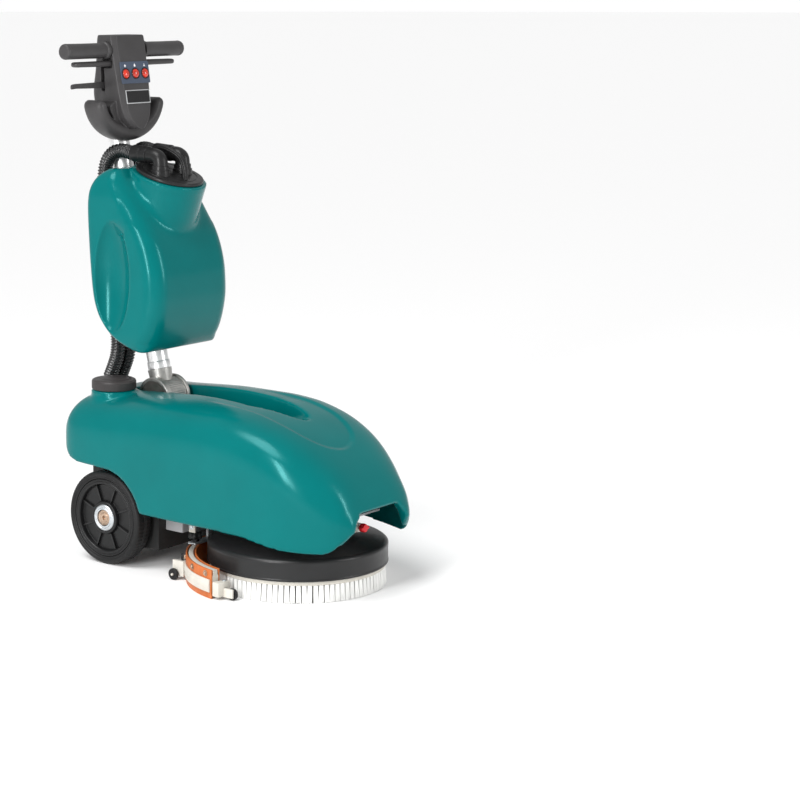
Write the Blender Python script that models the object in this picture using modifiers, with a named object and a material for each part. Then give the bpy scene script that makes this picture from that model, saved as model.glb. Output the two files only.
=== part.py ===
"""A compact walk-behind floor scrubber: solution tank body on two wheels, disc brush, squeegee,
tilting column with recovery tank, and control head.

Metres and degrees. +Z is up, the nose faces -Y, X = 0 is the plane of symmetry, and the origin is
on the floor at the centre of the machine's plan box.
"""

import math

import bmesh
import bpy
import numpy as np
from mathutils import Matrix, Vector

# Driving dimensions
GAP = 0.0003  # between pieces that touch
NOSE_Y = -0.370
TAIL_Y = 0.370
BODY_HALF_WIDTH = 0.176
BODY_WALL = 0.005
SHOULDER_HEIGHT = 0.130
BODY_STATIONS = 27
BAY_TOP = 0.235

WHEEL_RADIUS = 0.100
WHEEL_Y = 0.235
WHEEL_INNER_X = 0.124
WHEEL_OUTER_X = 0.169
ARCH_RADIUS = 0.108

BRUSH_Y = -0.155
BRUSH_RADIUS = 0.184
DECK_RADIUS = 0.186
DECK_LOW = 0.045

SQUEEGEE_RADIUS = 0.220
SQUEEGEE_TIP_ANGLE = 10.2
BLADE_HEIGHT = 0.060

HINGE = Vector((0.0, 0.210, 0.341))
HINGE_RADIUS = 0.044
COLUMN_LEAN = 13.3
TUBE_RADIUS = 0.023
TUBE_WALL = 0.0025

TANK_HALF_WIDTH = 0.124
TANK_WALL = 0.004
GRIP_DIMPLE = Vector((0.146, 0.247, 0.607))
LID_CENTRE = Vector((0.0, 0.193, 0.816))
LID_TILT = 17.0
LID_RADIUS = 0.0730
NECK_RADIUS = 0.0810
HOSE_RADIUS = 0.0155

FACE_POINT = Vector((0.0, 0.290, 1.027))
FACE_LEAN = 9.4
GRIP_AXIS = Vector((0.0, 0.323, 1.076))
GRIP_RADIUS = 0.0165
GRIP_END_X = 0.182

CAP_CENTRE = Vector((-0.092, 0.272, 0.3635))
CAP_RADIUS = 0.0475

# Outlines, as (place along the machine, value) points that a smooth curve passes through
BODY_TOP = [(NOSE_Y, 0.150), (-0.366, 0.176), (-0.351, 0.211), (-0.327, 0.246), (-0.290, 0.281),
            (-0.243, 0.315), (-0.171, 0.348), (-0.098, 0.364), (-0.039, 0.368), (0.052, 0.368),
            (0.230, 0.359), (0.290, 0.357), (0.320, 0.353), (0.340, 0.343), (0.356, 0.325),
            (0.366, 0.302), (TAIL_Y, 0.284)]
BODY_BOTTOM = [(NOSE_Y, 0.149), (-0.364, 0.146), (-0.354, 0.134), (-0.343, 0.116), (-0.325, 0.107),
               (-0.290, 0.105), (-0.227, 0.108), (-0.132, 0.122), (0.000, 0.123), (0.129, 0.126)]
TAIL_BOTTOM = [(0.235, 0.208), (0.300, 0.211), (0.328, 0.216), (0.348, 0.230), (0.362, 0.250),
               (TAIL_Y, 0.266)]
BODY_SIDE = [(NOSE_Y, 0.087), (-0.365, 0.101), (-0.354, 0.115), (-0.335, 0.129), (-0.310, 0.142),
             (-0.265, 0.160), (-0.210, 0.171), (-0.100, BODY_HALF_WIDTH), (0.250, BODY_HALF_WIDTH),
             (0.320, 0.173), (0.345, 0.165), (0.362, 0.150), (TAIL_Y, 0.134)]
RECESS_SIDE = [(-0.154, 0.004), (-0.148, 0.015), (-0.130, 0.027), (-0.100, 0.038), (-0.050, 0.045),
               (0.100, 0.045), (0.262, 0.045)]
RECESS_FLOOR = [(-0.154, 0.352), (-0.110, 0.330), (-0.060, 0.305), (0.000, 0.294), (0.262, 0.2915)]

TANK_FRONT = [(0.452, 0.166), (0.462, 0.154), (0.490, 0.139), (0.530, 0.127), (0.567, 0.122),
              (0.612, 0.124), (0.648, 0.131), (0.684, 0.144), (0.720, 0.165), (0.770, 0.200),
              (0.810, 0.232), (0.832, 0.250)]
TANK_REAR = [(0.452, 0.190), (0.460, 0.212), (0.481, 0.255), (0.503, 0.279), (0.527, 0.296),
             (0.563, 0.308), (0.621, 0.315), (0.676, 0.319), (0.749, 0.322), (0.785, 0.318),
             (0.806, 0.309), (0.822, 0.295), (0.832, 0.280)]
TANK_SIDE = [(0.452, 0.114), (0.462, 0.121), (0.490, TANK_HALF_WIDTH), (0.770, TANK_HALF_WIDTH),
             (0.806, 0.118), (0.824, 0.108), (0.832, 0.098)]

HEAD_SIDE = [(0.911, 0.012), (0.915, 0.021), (0.924, 0.032), (0.938, 0.040), (0.960, 0.046),
             (1.000, 0.049), (1.100, 0.0525), (1.108, 0.050)]
HEAD_REAR = [(0.911, 0.350), (0.940, 0.366), (0.985, 0.374), (1.040, 0.364), (1.108, 0.358)]

TEAL = ("teal_plastic", (0.0, 0.20, 0.185), 0.30, 0.0)
BLACK = ("black_plastic", (0.016, 0.016, 0.017), 0.42, 0.0)
DARK = ("dark_grey_plastic", (0.068, 0.065, 0.067), 0.45, 0.0)
RUBBER = ("tyre_rubber", (0.020, 0.020, 0.021), 0.65, 0.0)
BRISTLE = ("white_bristle", (0.86, 0.86, 0.86), 0.55, 0.0)
GUM = ("gum_rubber", (0.52, 0.16, 0.045), 0.50, 0.0)
IVORY = ("ivory_plastic", (0.66, 0.63, 0.58), 0.45, 0.0)
ALLOY = ("cast_alloy", (0.42, 0.41, 0.40), 0.45, 0.9)
SILVER = ("silver_tube", (0.80, 0.80, 0.80), 0.25, 0.95)
ZINC = ("zinc_steel", (0.62, 0.66, 0.68), 0.35, 0.9)
BRONZE = ("bronze_bolt", (0.50, 0.37, 0.28), 0.40, 0.9)
STEEL = ("black_steel", (0.020, 0.020, 0.020), 0.50, 0.2)
GREY = ("grey_paint", (0.40, 0.40, 0.41), 0.50, 0.1)
PANEL = ("blue_grey_panel", (0.095, 0.115, 0.155), 0.45, 0.0)
RED = ("red_lens", (0.75, 0.045, 0.015), 0.25, 0.0)
HOSE = ("black_hose", (0.012, 0.012, 0.012), 0.30, 0.0)
MOTOR = ("motor_grey", (0.30, 0.30, 0.31), 0.45, 0.5)
CELL = ("battery_case", (0.05, 0.05, 0.06), 0.50, 0.0)

for old in list(bpy.data.objects):
    bpy.data.objects.remove(old, do_unlink=True)

MACHINE = bpy.data.collections.new("floor_scrubber")
CUTTERS = bpy.data.collections.new("cutters")
bpy.context.scene.collection.children.link(MACHINE)
bpy.context.scene.collection.children.link(CUTTERS)


# Tools ------------------------------------------------------------------------------------------

def smooth(points, at):
    """The value at one place on a monotone cubic through the points, so nothing overshoots."""
    place, value = np.array(points, float).T
    step = np.diff(place)
    slope = np.diff(value) / step
    tangent = np.concatenate([slope[:1], np.zeros(len(place) - 2), slope[-1:]])
    for i in range(1, len(place) - 1):
        if slope[i - 1] * slope[i] > 0:
            before = 2 * step[i] + step[i - 1]
            after = step[i] + 2 * step[i - 1]
            tangent[i] = (before + after) / (before / slope[i - 1] + after / slope[i])
    i = int(np.clip(np.searchsorted(place, at) - 1, 0, len(place) - 2))
    t = min(max((at - place[i]) / step[i], 0.0), 1.0)
    return float((1 + 2 * t) * (1 - t) ** 2 * value[i] + t * (1 - t) ** 2 * step[i] * tangent[i]
                 + t * t * (3 - 2 * t) * value[i + 1] + t * t * (t - 1) * step[i] * tangent[i + 1])


def lean(distance, degrees, start=HINGE):
    """The point that lies a distance up a line leaning rearward from the vertical."""
    angle = math.radians(degrees)
    return start + distance * Vector((0.0, math.sin(angle), math.cos(angle)))


def column_y(z):
    """Where the column's axis is at a height."""
    return HINGE.y + (z - HINGE.z) * math.tan(math.radians(COLUMN_LEAN))


def face_y(z):
    """Where the control face is at a height."""
    return FACE_POINT.y + (z - FACE_POINT.z) * math.tan(math.radians(FACE_LEAN))


def material(spec):
    name, colour, roughness, metallic = spec
    found = bpy.data.materials.get(name)
    if found:
        return found
    made = bpy.data.materials.new(name)
    made.use_nodes = True
    made.diffuse_color = (*colour, 1.0)
    shader = made.node_tree.nodes["Principled BSDF"]
    shader.inputs["Base Color"].default_value = (*colour, 1.0)
    shader.inputs["Roughness"].default_value = roughness
    shader.inputs["Metallic"].default_value = metallic
    return made


def pivot(name, at, rotation=(0.0, 0.0, 0.0), parent=None):
    """An empty on a joint's axis, which the moving pieces are parented to."""
    empty = bpy.data.objects.new(name, None)
    empty.empty_display_size = 0.03
    empty.location = at
    empty.rotation_euler = [math.radians(angle) for angle in rotation]
    MACHINE.objects.link(empty)
    bpy.context.view_layer.update()
    keep_place(empty, parent)
    return empty


def keep_place(obj, parent):
    if parent:
        obj.parent = parent
        obj.matrix_parent_inverse = parent.matrix_world.inverted()
        bpy.context.view_layer.update()


def place(name, mesh, spec, at=(0.0, 0.0, 0.0), rotation=(0.0, 0.0, 0.0), parent=None):
    """Make an object of a bmesh, at a world place, and parent it there."""
    data = bpy.data.meshes.new(name)
    mesh.to_mesh(data)
    mesh.free()
    obj = bpy.data.objects.new(name, data)
    obj.location = at
    obj.rotation_euler = [math.radians(angle) for angle in rotation]
    if spec:
        data.materials.append(material(spec))
        data.shade_smooth()
        data.set_sharp_from_angle(angle=math.radians(35))
        MACHINE.objects.link(obj)
    else:
        obj.hide_render = True
        obj.display_type = "WIRE"
        CUTTERS.objects.link(obj)
    bpy.context.view_layer.update()
    keep_place(obj, parent)
    return obj


def loft(rings):
    """A closed skin through rings of the same number of points, flat at both ends."""
    mesh = bmesh.new()
    loops = [[mesh.verts.new(point) for point in ring] for ring in rings]
    for near, far in zip(loops, loops[1:]):
        for i in range(len(near)):
            j = (i + 1) % len(near)
            mesh.faces.new((near[i], near[j], far[j], far[i]))
    mesh.faces.new(loops[0])
    mesh.faces.new(loops[-1])
    bmesh.ops.recalc_face_normals(mesh, faces=mesh.faces)
    return mesh


def block(low, high):
    """A box between two opposite corners."""
    mesh = bmesh.new()
    bmesh.ops.create_cube(mesh, size=1.0)
    low, high = Vector(low), Vector(high)
    size = high - low
    bmesh.ops.scale(mesh, vec=size, verts=mesh.verts)
    bmesh.ops.translate(mesh, vec=(low + high) / 2, verts=mesh.verts)
    return mesh


def rod(radius, start, end, sides=24, end_radius=None):
    """A cylinder or cone from one point to another."""
    start, end = Vector(start), Vector(end)
    along = end - start
    mesh = bmesh.new()
    bmesh.ops.create_cone(mesh, cap_ends=True, segments=sides, radius1=radius,
                          radius2=radius if end_radius is None else end_radius, depth=along.length)
    turn = Vector((0, 0, 1)).rotation_difference(along.normalized()).to_matrix().to_4x4()
    bmesh.ops.transform(mesh, matrix=Matrix.Translation((start + end) / 2) @ turn, verts=mesh.verts)
    return mesh


def egg(centre, half_sizes, rings=8, sides=16):
    """An ellipsoid."""
    mesh = bmesh.new()
    bmesh.ops.create_uvsphere(mesh, u_segments=sides, v_segments=rings, radius=1.0)
    bmesh.ops.scale(mesh, vec=half_sizes, verts=mesh.verts)
    bmesh.ops.translate(mesh, vec=centre, verts=mesh.verts)
    return mesh


def turned(name, profile, spec, at=(0.0, 0.0, 0.0), rotation=(0.0, 0.0, 0.0), parent=None,
           steps=32, closed=False):
    """A turned piece: (radius, height) points from top to bottom down the outside, spun about Z."""
    mesh = bmesh.new()
    corners = [mesh.verts.new((radius, 0.0, height)) for radius, height in profile]
    for first, second in zip(corners, corners[1:]):
        mesh.edges.new((first, second))
    if closed:
        mesh.edges.new((corners[-1], corners[0]))
    obj = place(name, mesh, spec, at, rotation, parent)
    screw = obj.modifiers.new("turn", "SCREW")
    screw.steps = steps
    screw.render_steps = steps
    screw.use_merge_vertices = True
    screw.merge_threshold = 0.00001
    weld = obj.modifiers.new("weld", "WELD")
    weld.merge_threshold = 0.00001
    return obj


def combine(obj, other, operation="DIFFERENCE"):
    cut = obj.modifiers.new(other.name, "BOOLEAN")
    cut.operation = operation
    cut.solver = "EXACT"
    cut.object = other
    return obj


def cutter(name, mesh, at=(0.0, 0.0, 0.0), rotation=(0.0, 0.0, 0.0), parent=None):
    return place(name, mesh, None, at, rotation, parent)


def round_edges(obj, width, segments=2, angle=40):
    bevel = obj.modifiers.new("round", "BEVEL")
    bevel.width = width
    bevel.segments = segments
    bevel.limit_method = "ANGLE"
    bevel.angle_limit = math.radians(angle)
    bevel.use_clamp_overlap = True
    return obj


def through(points, count):
    """Evenly spread points on a smooth curve through the given ones."""
    points = [Vector(point) for point in points]
    ends = [2 * points[0] - points[1]] + points + [2 * points[-1] - points[-2]]
    fine = []
    for a, b, c, d in zip(ends, ends[1:], ends[2:], ends[3:]):
        for i in range(20):
            t = i / 20
            fine.append(0.5 * (2 * b + (c - a) * t + (2 * a - 5 * b + 4 * c - d) * t * t
                               + (3 * b - a - 3 * c + d) * t ** 3))
    fine.append(points[-1])
    run = np.concatenate([[0.0], np.cumsum([(b - a).length for a, b in zip(fine, fine[1:])])])
    places = np.linspace(0.0, run[-1], count)
    return [[float(np.interp(s, run, [p[i] for p in fine])) for i in range(3)] for s in places]


def tube(name, route, radius, spec, parent=None, resolution=2):
    """A curve object with a round section and closed ends."""
    curve = bpy.data.curves.new(name, "CURVE")
    curve.dimensions = "3D"
    curve.bevel_depth = radius
    curve.bevel_resolution = resolution
    curve.use_fill_caps = True
    curve.materials.append(material(spec))
    line = curve.splines.new("POLY")
    line.points.add(len(route) - 1)
    for corner, point in zip(line.points, route):
        corner.co = (*point, 1.0)
    obj = bpy.data.objects.new(name, curve)
    MACHINE.objects.link(obj)
    bpy.context.view_layer.update()
    keep_place(obj, parent)
    return obj


def as_mesh(obj, spec, parent=None):
    """The same piece as a mesh object with welded caps, so that Booleans can take it."""
    graph = bpy.context.evaluated_depsgraph_get()
    data = bpy.data.meshes.new_from_object(obj.evaluated_get(graph))
    mesh = bmesh.new()
    mesh.from_mesh(data)
    bmesh.ops.remove_doubles(mesh, verts=mesh.verts, dist=0.00001)
    bmesh.ops.recalc_face_normals(mesh, faces=mesh.faces)
    mesh.transform(obj.matrix_world)
    name = obj.name
    bpy.data.objects.remove(obj, do_unlink=True)
    bpy.data.meshes.remove(data)
    return place(name, mesh, spec, parent=parent)


# Solution tank body -----------------------------------------------------------------------------

def body_bottom(y):
    """The body's lower edge: the skirt, then the wheel arch, then the tail's underside."""
    if y >= WHEEL_Y:
        return smooth(TAIL_BOTTOM, y)
    arch = 0.0
    if y > WHEEL_Y - ARCH_RADIUS:
        arch = WHEEL_RADIUS + math.sqrt(ARCH_RADIUS ** 2 - (y - WHEEL_Y) ** 2)
    return max(smooth(BODY_BOTTOM, y), arch)


def body_ring(y, inset=0.0, low=None, high=None, fullness=4.0, arc_points=7):
    """A cross-section: straight sides, rounded shoulders and a nearly flat top."""
    half = smooth(BODY_SIDE, y) - inset
    top = smooth(BODY_TOP, y) - inset
    bottom = body_bottom(y)
    rise = min(SHOULDER_HEIGHT, 0.92 * (top + inset - bottom))
    if low is not None:
        bottom = low
    right = []
    for i in range(arc_points + 1):
        turn = math.radians(90.0 * i / arc_points)
        x = half * math.cos(turn) ** (2 / fullness)
        z = top - rise + rise * math.sin(turn) ** (2 / fullness)
        right.append((x, z))
    outline = [(half, bottom)] + right
    outline += [(-x, z) for x, z in reversed(right[:-1])] + [(-half, bottom)]
    if high is not None:
        outline = [(x, min(z, high)) for x, z in outline]
    return [(x, y, z) for x, z in outline]


def stations(start, end, count):
    """Places from start to end, closer together at both ends."""
    return [(start + end) / 2 - (end - start) / 2 * math.cos(math.pi * i / (count - 1))
            for i in range(count)]


def recess_ring(y, grow=0.0):
    """The groove in the top that the column folds into, at one place along it."""
    half = smooth(RECESS_SIDE, y) + grow
    floor = smooth(RECESS_FLOOR, y) - grow
    return [(half, y, 0.450), (half, y, floor + 0.007), (0.86 * half, y, floor),
            (-0.86 * half, y, floor), (-half, y, floor + 0.007), (-half, y, 0.450)]


PORT_PLACES = {"near": (-0.042, 0.331), "far": (-0.006, 0.331)}
PORT_TOP = 0.3535
MOTOR_Y = 0.312


def make_body():
    skin = loft([body_ring(y) for y in stations(NOSE_Y, TAIL_Y, BODY_STATIONS)])
    body = place("solution_tank_body", skin, TEAL)
    neck = cutter("filler_neck", rod(0.049, (CAP_CENTRE.x, CAP_CENTRE.y, 0.300), CAP_CENTRE, 32))
    combine(body, neck, "UNION")
    for side, (x, y) in PORT_PLACES.items():
        port = cutter("port_" + side, rod(0.0165, (x, y, 0.305), (x, y, PORT_TOP), 16))
        combine(body, port, "UNION")

    lengthwise = stations(NOSE_Y, TAIL_Y, BODY_STATIONS)
    water = cutter("water_space", loft(
        [body_ring(y, BODY_WALL, low=0.10) for y in lengthwise if -0.300 < y < 0.345]))
    floor = block((-0.3, -0.4, 0.0), (0.3, 0.4, BAY_TOP + 0.008))
    combine(water, cutter("water_floor", floor))
    wide_recess = cutter("recess_wall", loft(
        [recess_ring(y, BODY_WALL) for y in (-0.154, -0.130, -0.100, -0.050, 0.000, 0.268)]))
    combine(water, wide_recess)
    combine(water, cutter("motor_wall", rod(0.045, (0, MOTOR_Y, 0.20), (0, MOTOR_Y, 0.306))))
    for side, (x, y) in PORT_PLACES.items():
        combine(water, cutter("port_wall_" + side, rod(0.0205, (x, y, 0.29), (x, y, 0.37), 12)))
    combine(body, water)
    combine(body, cutter("filler_bore", rod(0.040, (CAP_CENTRE.x, CAP_CENTRE.y, 0.290),
                                            (CAP_CENTRE.x, CAP_CENTRE.y, 0.400), 24)))
    recess = loft([recess_ring(y) for y in stations(-0.154, 0.262, 12)])
    combine(body, cutter("recess", recess))
    bay = loft([body_ring(y, 0.010, low=0.02, high=BAY_TOP, arc_points=5)
                for y in [y for y in lengthwise if -0.350 < y < 0.100] + [0.1125]])
    combine(body, cutter("bay", bay))
    combine(body, cutter("tray_bay", block((-0.1185, 0.110, 0.02), (0.1185, 0.3165, 0.2065))))
    combine(body, cutter("motor_bay", rod(0.040, (0, MOTOR_Y, 0.19), (0, MOTOR_Y, 0.301), 24)))
    right = [(0.102, 0.095), (0.098, 0.130), (0.082, 0.160), (0.062, 0.182)]
    outline = right + [(-x, z) for x, z in reversed(right)]
    notch = loft([[(x, y, z) for x, z in outline] for y in (-0.420, -0.320)])
    combine(body, cutter("nose_notch", notch))
    return body


def make_filler_cap():
    base = pivot("filler_cap_lift", CAP_CENTRE)
    profile = [(0.0, 0.0245), (0.020, 0.0240), (0.044, 0.0205), (CAP_RADIUS, 0.0180),
               (CAP_RADIUS, GAP), (0.038, GAP), (0.038, -0.012), (0.0, -0.012)]
    turned("filler_cap", profile, DARK, CAP_CENTRE, parent=base, steps=32)


# Chassis, motors and power ----------------------------------------------------------------------

TRAY_LOW = (-0.116, 0.125, 0.037)
TRAY_HIGH = (0.116, 0.313, 0.2005)
PLATE_LOW = 0.1483
POST_X = 0.050
POST_Y = 0.045


def make_chassis():
    tray = place("battery_tray", block(TRAY_LOW, TRAY_HIGH), STEEL)
    combine(tray, cutter("tray_hollow", block((-0.113, 0.128, 0.040), (0.113, 0.310, 0.230))))
    battery = place("battery_pack", block((-0.105, 0.134, 0.0405), (0.105, 0.304, 0.178)), CELL)
    round_edges(battery, 0.004, 1)

    plate = place("motor_plate", block((-0.100, -0.290, PLATE_LOW), (0.100, 0.1247, 0.1523)), GREY)
    combine(plate, cutter("plate_bore", rod(0.048, (0, BRUSH_Y, 0.13), (0, BRUSH_Y, 0.17))))
    bracket = place("squeegee_bracket",
                    block((-0.095, 0.024, 0.1425), (0.095, 0.1247, PLATE_LOW - GAP)), GREY)
    combine(bracket, cutter("bracket_drop", block((-0.095, 0.077, 0.078), (0.095, 0.1247, 0.145))),
            "UNION")
    for side in (-1, 1):
        x = side * POST_X
        hole = cutter(f"post_hole_{side}", rod(0.0052, (x, POST_Y, 0.10), (x, POST_Y, 0.18), 16))
        combine(plate, hole)
        combine(bracket, hole)

    turned("brush_gear_motor",
           [(0.0, 0.2330), (0.030, 0.2330), (0.046, 0.2260), (0.046, 0.1480), (0.056, 0.1480),
            (0.058, 0.1450), (0.058, 0.1240), (0.052, 0.1190), (0.013, 0.1190), (0.013, 0.1030),
            (0.0, 0.1030)], MOTOR, (0, BRUSH_Y, 0), steps=28)
    turned("vacuum_motor",
           [(0.0, 0.2990), (0.020, 0.2990), (0.031, 0.2930), (0.037, 0.2820), (0.037, 0.2420),
            (0.026, 0.2360), (0.026, 0.2160), (0.0, 0.2160)], MOTOR, (0, MOTOR_Y, 0), steps=24)


def make_flow_valve():
    valve = place("flow_valve", rod(0.0085, (0, -0.268, 0.1215), (0, -0.3135, 0.1351), 16), IVORY)
    combine(valve, cutter("valve_stem", rod(0.0060, (0, -0.276, 0.122), (0, -0.276, 0.148), 12)),
            "UNION")
    centre = Vector((0, -0.3165, 0.1360))
    turn = pivot("flow_valve_turn", centre)
    knob = place("flow_valve_knob", rod(0.0090, centre + Vector((0, -0.0005, 0)),
                                        centre + Vector((0, -0.0120, 0)), 16), RED, parent=turn)
    wing = block(centre + Vector((-0.013, -0.0105, -0.0035)),
                 centre + Vector((0.013, -0.0030, 0.0035)))
    combine(knob, cutter("knob_wing", wing, parent=turn), "UNION")


# Brush ------------------------------------------------------------------------------------------

def make_brush():
    turned("brush_deck",
           [(0.036, 0.1160), (0.060, 0.1145), (0.085, 0.1050), (0.125, 0.0950), (0.180, 0.0900),
            (0.187, 0.0850), (DECK_RADIUS, 0.0760), (DECK_RADIUS, DECK_LOW),
            (DECK_RADIUS - 0.003, DECK_LOW), (DECK_RADIUS - 0.003, 0.0750), (0.1790, 0.0865),
            (0.085, 0.1017), (0.036, 0.1128)],
           BLACK, (0, BRUSH_Y, 0), steps=36, closed=True)
    spin = pivot("brush_spin", (0, BRUSH_Y, 0))
    turned("brush_plate",
           [(0.0, 0.1020), (0.024, 0.1020), (0.026, 0.0600), (0.060, 0.0520), (0.176, 0.0500),
            (0.180, 0.0470), (0.180, 0.0363), (0.0, 0.0363)],
           IVORY, (0, BRUSH_Y, 0), parent=spin, steps=40)
    turned("brush_bristles",
           [(0.181, 0.0360), (BRUSH_RADIUS, 0.0), (0.088, 0.0), (0.094, 0.0360)],
           BRISTLE, (0, BRUSH_Y, 0), parent=spin, steps=40, closed=True)


# Wheels -----------------------------------------------------------------------------------------

def make_wheel(name, side):
    """The wheels are turned about X; the outer face is towards the machine's outside."""
    centre = Vector((0, WHEEL_Y, WHEEL_RADIUS))
    turn = (0, 90 * side, 0)
    spin = pivot("wheel_spin_" + name, centre)
    outer, inner = WHEEL_OUTER_X, WHEEL_INNER_X
    turned("tyre_" + name,
           [(0.0835, outer - 0.003), (0.090, outer), (0.096, outer - 0.0015), (WHEEL_RADIUS, outer - 0.007),
            (WHEEL_RADIUS, inner + 0.007), (0.096, inner + 0.0015), (0.090, inner), (0.0835, inner + 0.003)],
           RUBBER, centre, turn, spin, steps=32, closed=True)
    turned("wheel_rim_" + name,
           [(0.0285, 0.1665), (0.0340, 0.1665), (0.0360, 0.1560), (0.0690, 0.1560), (0.0720, 0.1660),
            (0.0827, 0.1655), (0.0827, 0.1275), (0.0700, 0.1275), (0.0680, 0.1440),
            (0.0360, 0.1440), (0.0340, 0.1290), (0.0285, 0.1290)],
           BLACK, centre, turn, spin, steps=24, closed=True)
    turned("wheel_bearing_" + name,
           [(0.0175, 0.1690), (0.0250, 0.1690), (0.0282, 0.1665), (0.0282, 0.1260), (0.0106, 0.1260),
            (0.0106, 0.1600), (0.0175, 0.1600)],
           ZINC, centre, turn, spin, steps=16, closed=True)
    turned("axle_stub_" + name,
           [(0.0, 0.1675), (0.0150, 0.1675), (0.0165, 0.1665), (0.0165, 0.1608), (0.0100, 0.1608),
            (0.0100, 0.1240), (0.0160, 0.1240), (0.0160, 0.1163), (0.0, 0.1163)],
           BRONZE, centre, turn, steps=16)


# Squeegee ---------------------------------------------------------------------------------------

def arc_ring(degrees, inner, outer, low, high):
    """A rectangle standing across an arc round the brush's centre, as seen at one angle."""
    angle = math.radians(degrees)
    out = Vector((math.cos(angle), math.sin(angle), 0))
    centre = Vector((0, BRUSH_Y, 0))
    return [centre + out * radius + Vector((0, 0, z))
            for radius, z in ((inner, low), (outer, low), (outer, high), (inner, high))]


def arc_bar(inner, outer, low, high, start, end, pieces=20):
    return loft([arc_ring(start + (end - start) * i / pieces, inner, outer, low, high)
                 for i in range(pieces + 1)])


def make_squeegee():
    lift = pivot("squeegee_lift", (0, POST_Y, 0.065))
    first, last = SQUEEGEE_TIP_ANGLE, 180 - SQUEEGEE_TIP_ANGLE
    middle = SQUEEGEE_RADIUS
    housing = place("squeegee_housing",
                    arc_bar(middle - 0.0075, middle + 0.0075, 0.018, BLADE_HEIGHT, first, last, 24),
                    IVORY, parent=lift)
    place("squeegee_blade_front",
          arc_bar(middle - 0.0106, middle - 0.0078, 0.0, BLADE_HEIGHT, first, last, 24), GUM,
          parent=lift)
    place("squeegee_blade_rear",
          arc_bar(middle + 0.0078, middle + 0.0106, 0.0, BLADE_HEIGHT, first, last, 24), GUM,
          parent=lift)
    strap = place("squeegee_strap",
                  arc_bar(middle + 0.0109, middle + 0.0146, 0.013, 0.040, first + 1, last - 1, 24),
                  IVORY, parent=lift)
    yoke = place("squeegee_yoke", block((-0.104, 0.034, 0.0603), (0.104, 0.056, 0.0655)), ZINC,
                 parent=lift)
    hanger = block((-0.098, 0.037, 0.0870), (0.098, 0.053, 0.1100))
    combine(yoke, cutter("hanger_beam", hanger, parent=lift), "UNION")
    for side, name in ((-1, "near"), (1, "far")):
        end_angle = 180 - first if side < 0 else first
        step = side * -1.0
        shoe = arc_bar(0.196, middle + 0.0106, 0.006, 0.036, end_angle + step * 0.6,
                       end_angle + step * 5.0, 2)
        combine(housing, cutter("shoe_" + name, shoe, parent=lift), "UNION")
        neck = arc_bar(middle - 0.0050, middle + 0.0050, 0.018, 0.036, end_angle - step * 2.0,
                       end_angle + step * 3.0, 2)
        combine(housing, cutter("shoe_neck_" + name, neck, parent=lift), "UNION")

        x = side * 0.2045
        y = BRUSH_Y + 0.004
        axle = rod(0.0025, (x - side * 0.006, y, 0.012), (x + side * 0.010, y, 0.012), 10)
        plate = block((min(x + side * 0.006, x + side * 0.010), y - 0.007, 0.006),
                      (max(x + side * 0.006, x + side * 0.010), -0.128, 0.024))
        combine(housing, cutter("front_fork_" + name, plate, parent=lift), "UNION")
        combine(housing, cutter("front_axle_" + name, axle, parent=lift), "UNION")
        make_roller("front_roller_" + name, (x, y, 0.012), side, lift)

        x = side * 0.166
        y = 0.040
        lug = block((min(x - side * 0.013, x - side * 0.0065), 0.0186, 0.008),
                    (max(x - side * 0.013, x - side * 0.0065), y + 0.008, 0.040))
        axle = rod(0.0025, (x - side * 0.010, y, 0.012), (x + side * 0.006, y, 0.012), 10)
        combine(strap, cutter("rear_lug_" + name, lug, parent=lift), "UNION")
        combine(strap, cutter("rear_axle_" + name, axle, parent=lift), "UNION")
        make_roller("rear_roller_" + name, (x, y, 0.012), side, lift)

        x = side * POST_X
        post = rod(0.0045, (x, POST_Y, 0.063), (x, POST_Y, 0.160), 16)
        combine(yoke, cutter("post_" + name, post, parent=lift), "UNION")
        turned("squeegee_knob_" + name,
               [(0.0, 0.0205), (0.0090, 0.0205), (0.0155, 0.0175), (0.0165, 0.0100), (0.0130, 0.0065),
                (0.0080, 0.0055), (0.0070, GAP), (0.0, GAP)],
               BLACK, (side * 0.090, POST_Y, 0.0655), parent=lift, steps=18)


def make_roller(name, centre, side, parent):
    spin = pivot(name + "_spin", centre, parent=parent)
    turned(name,
           [(0.0032, 0.0040), (0.0100, 0.0040), (0.0120, 0.0025), (0.0120, -0.0025),
            (0.0100, -0.0040), (0.0032, -0.0040)],
           RUBBER, centre, (0, 90, 0), spin, steps=16, closed=True)


# Column -----------------------------------------------------------------------------------------

def make_hinge_base():
    x_near, x_far = -0.0360, 0.0360
    base = place("hinge_base", block((x_near, 0.170, 0.2935), (x_far, 0.245, 0.3000)), ALLOY)
    for name, low, high in (("near", x_near, -0.0208), ("far", 0.0285, x_far)):
        ear = rod(HINGE_RADIUS, (low, HINGE.y, HINGE.z), (high, HINGE.y, HINGE.z), 40)
        combine(base, cutter("ear_" + name, ear), "UNION")
        web = block((low, 0.176, 0.296), (high, 0.244, 0.320))
        combine(base, cutter("web_" + name, web), "UNION")
    combine(base, cutter("ear_bore", rod(0.0063, (-0.05, HINGE.y, HINGE.z),
                                         (0.05, HINGE.y, HINGE.z), 16)))
    place("hinge_pin", rod(0.0058, (-0.0375, HINGE.y, HINGE.z), (0.0375, HINGE.y, HINGE.z), 16), ZINC)


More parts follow.
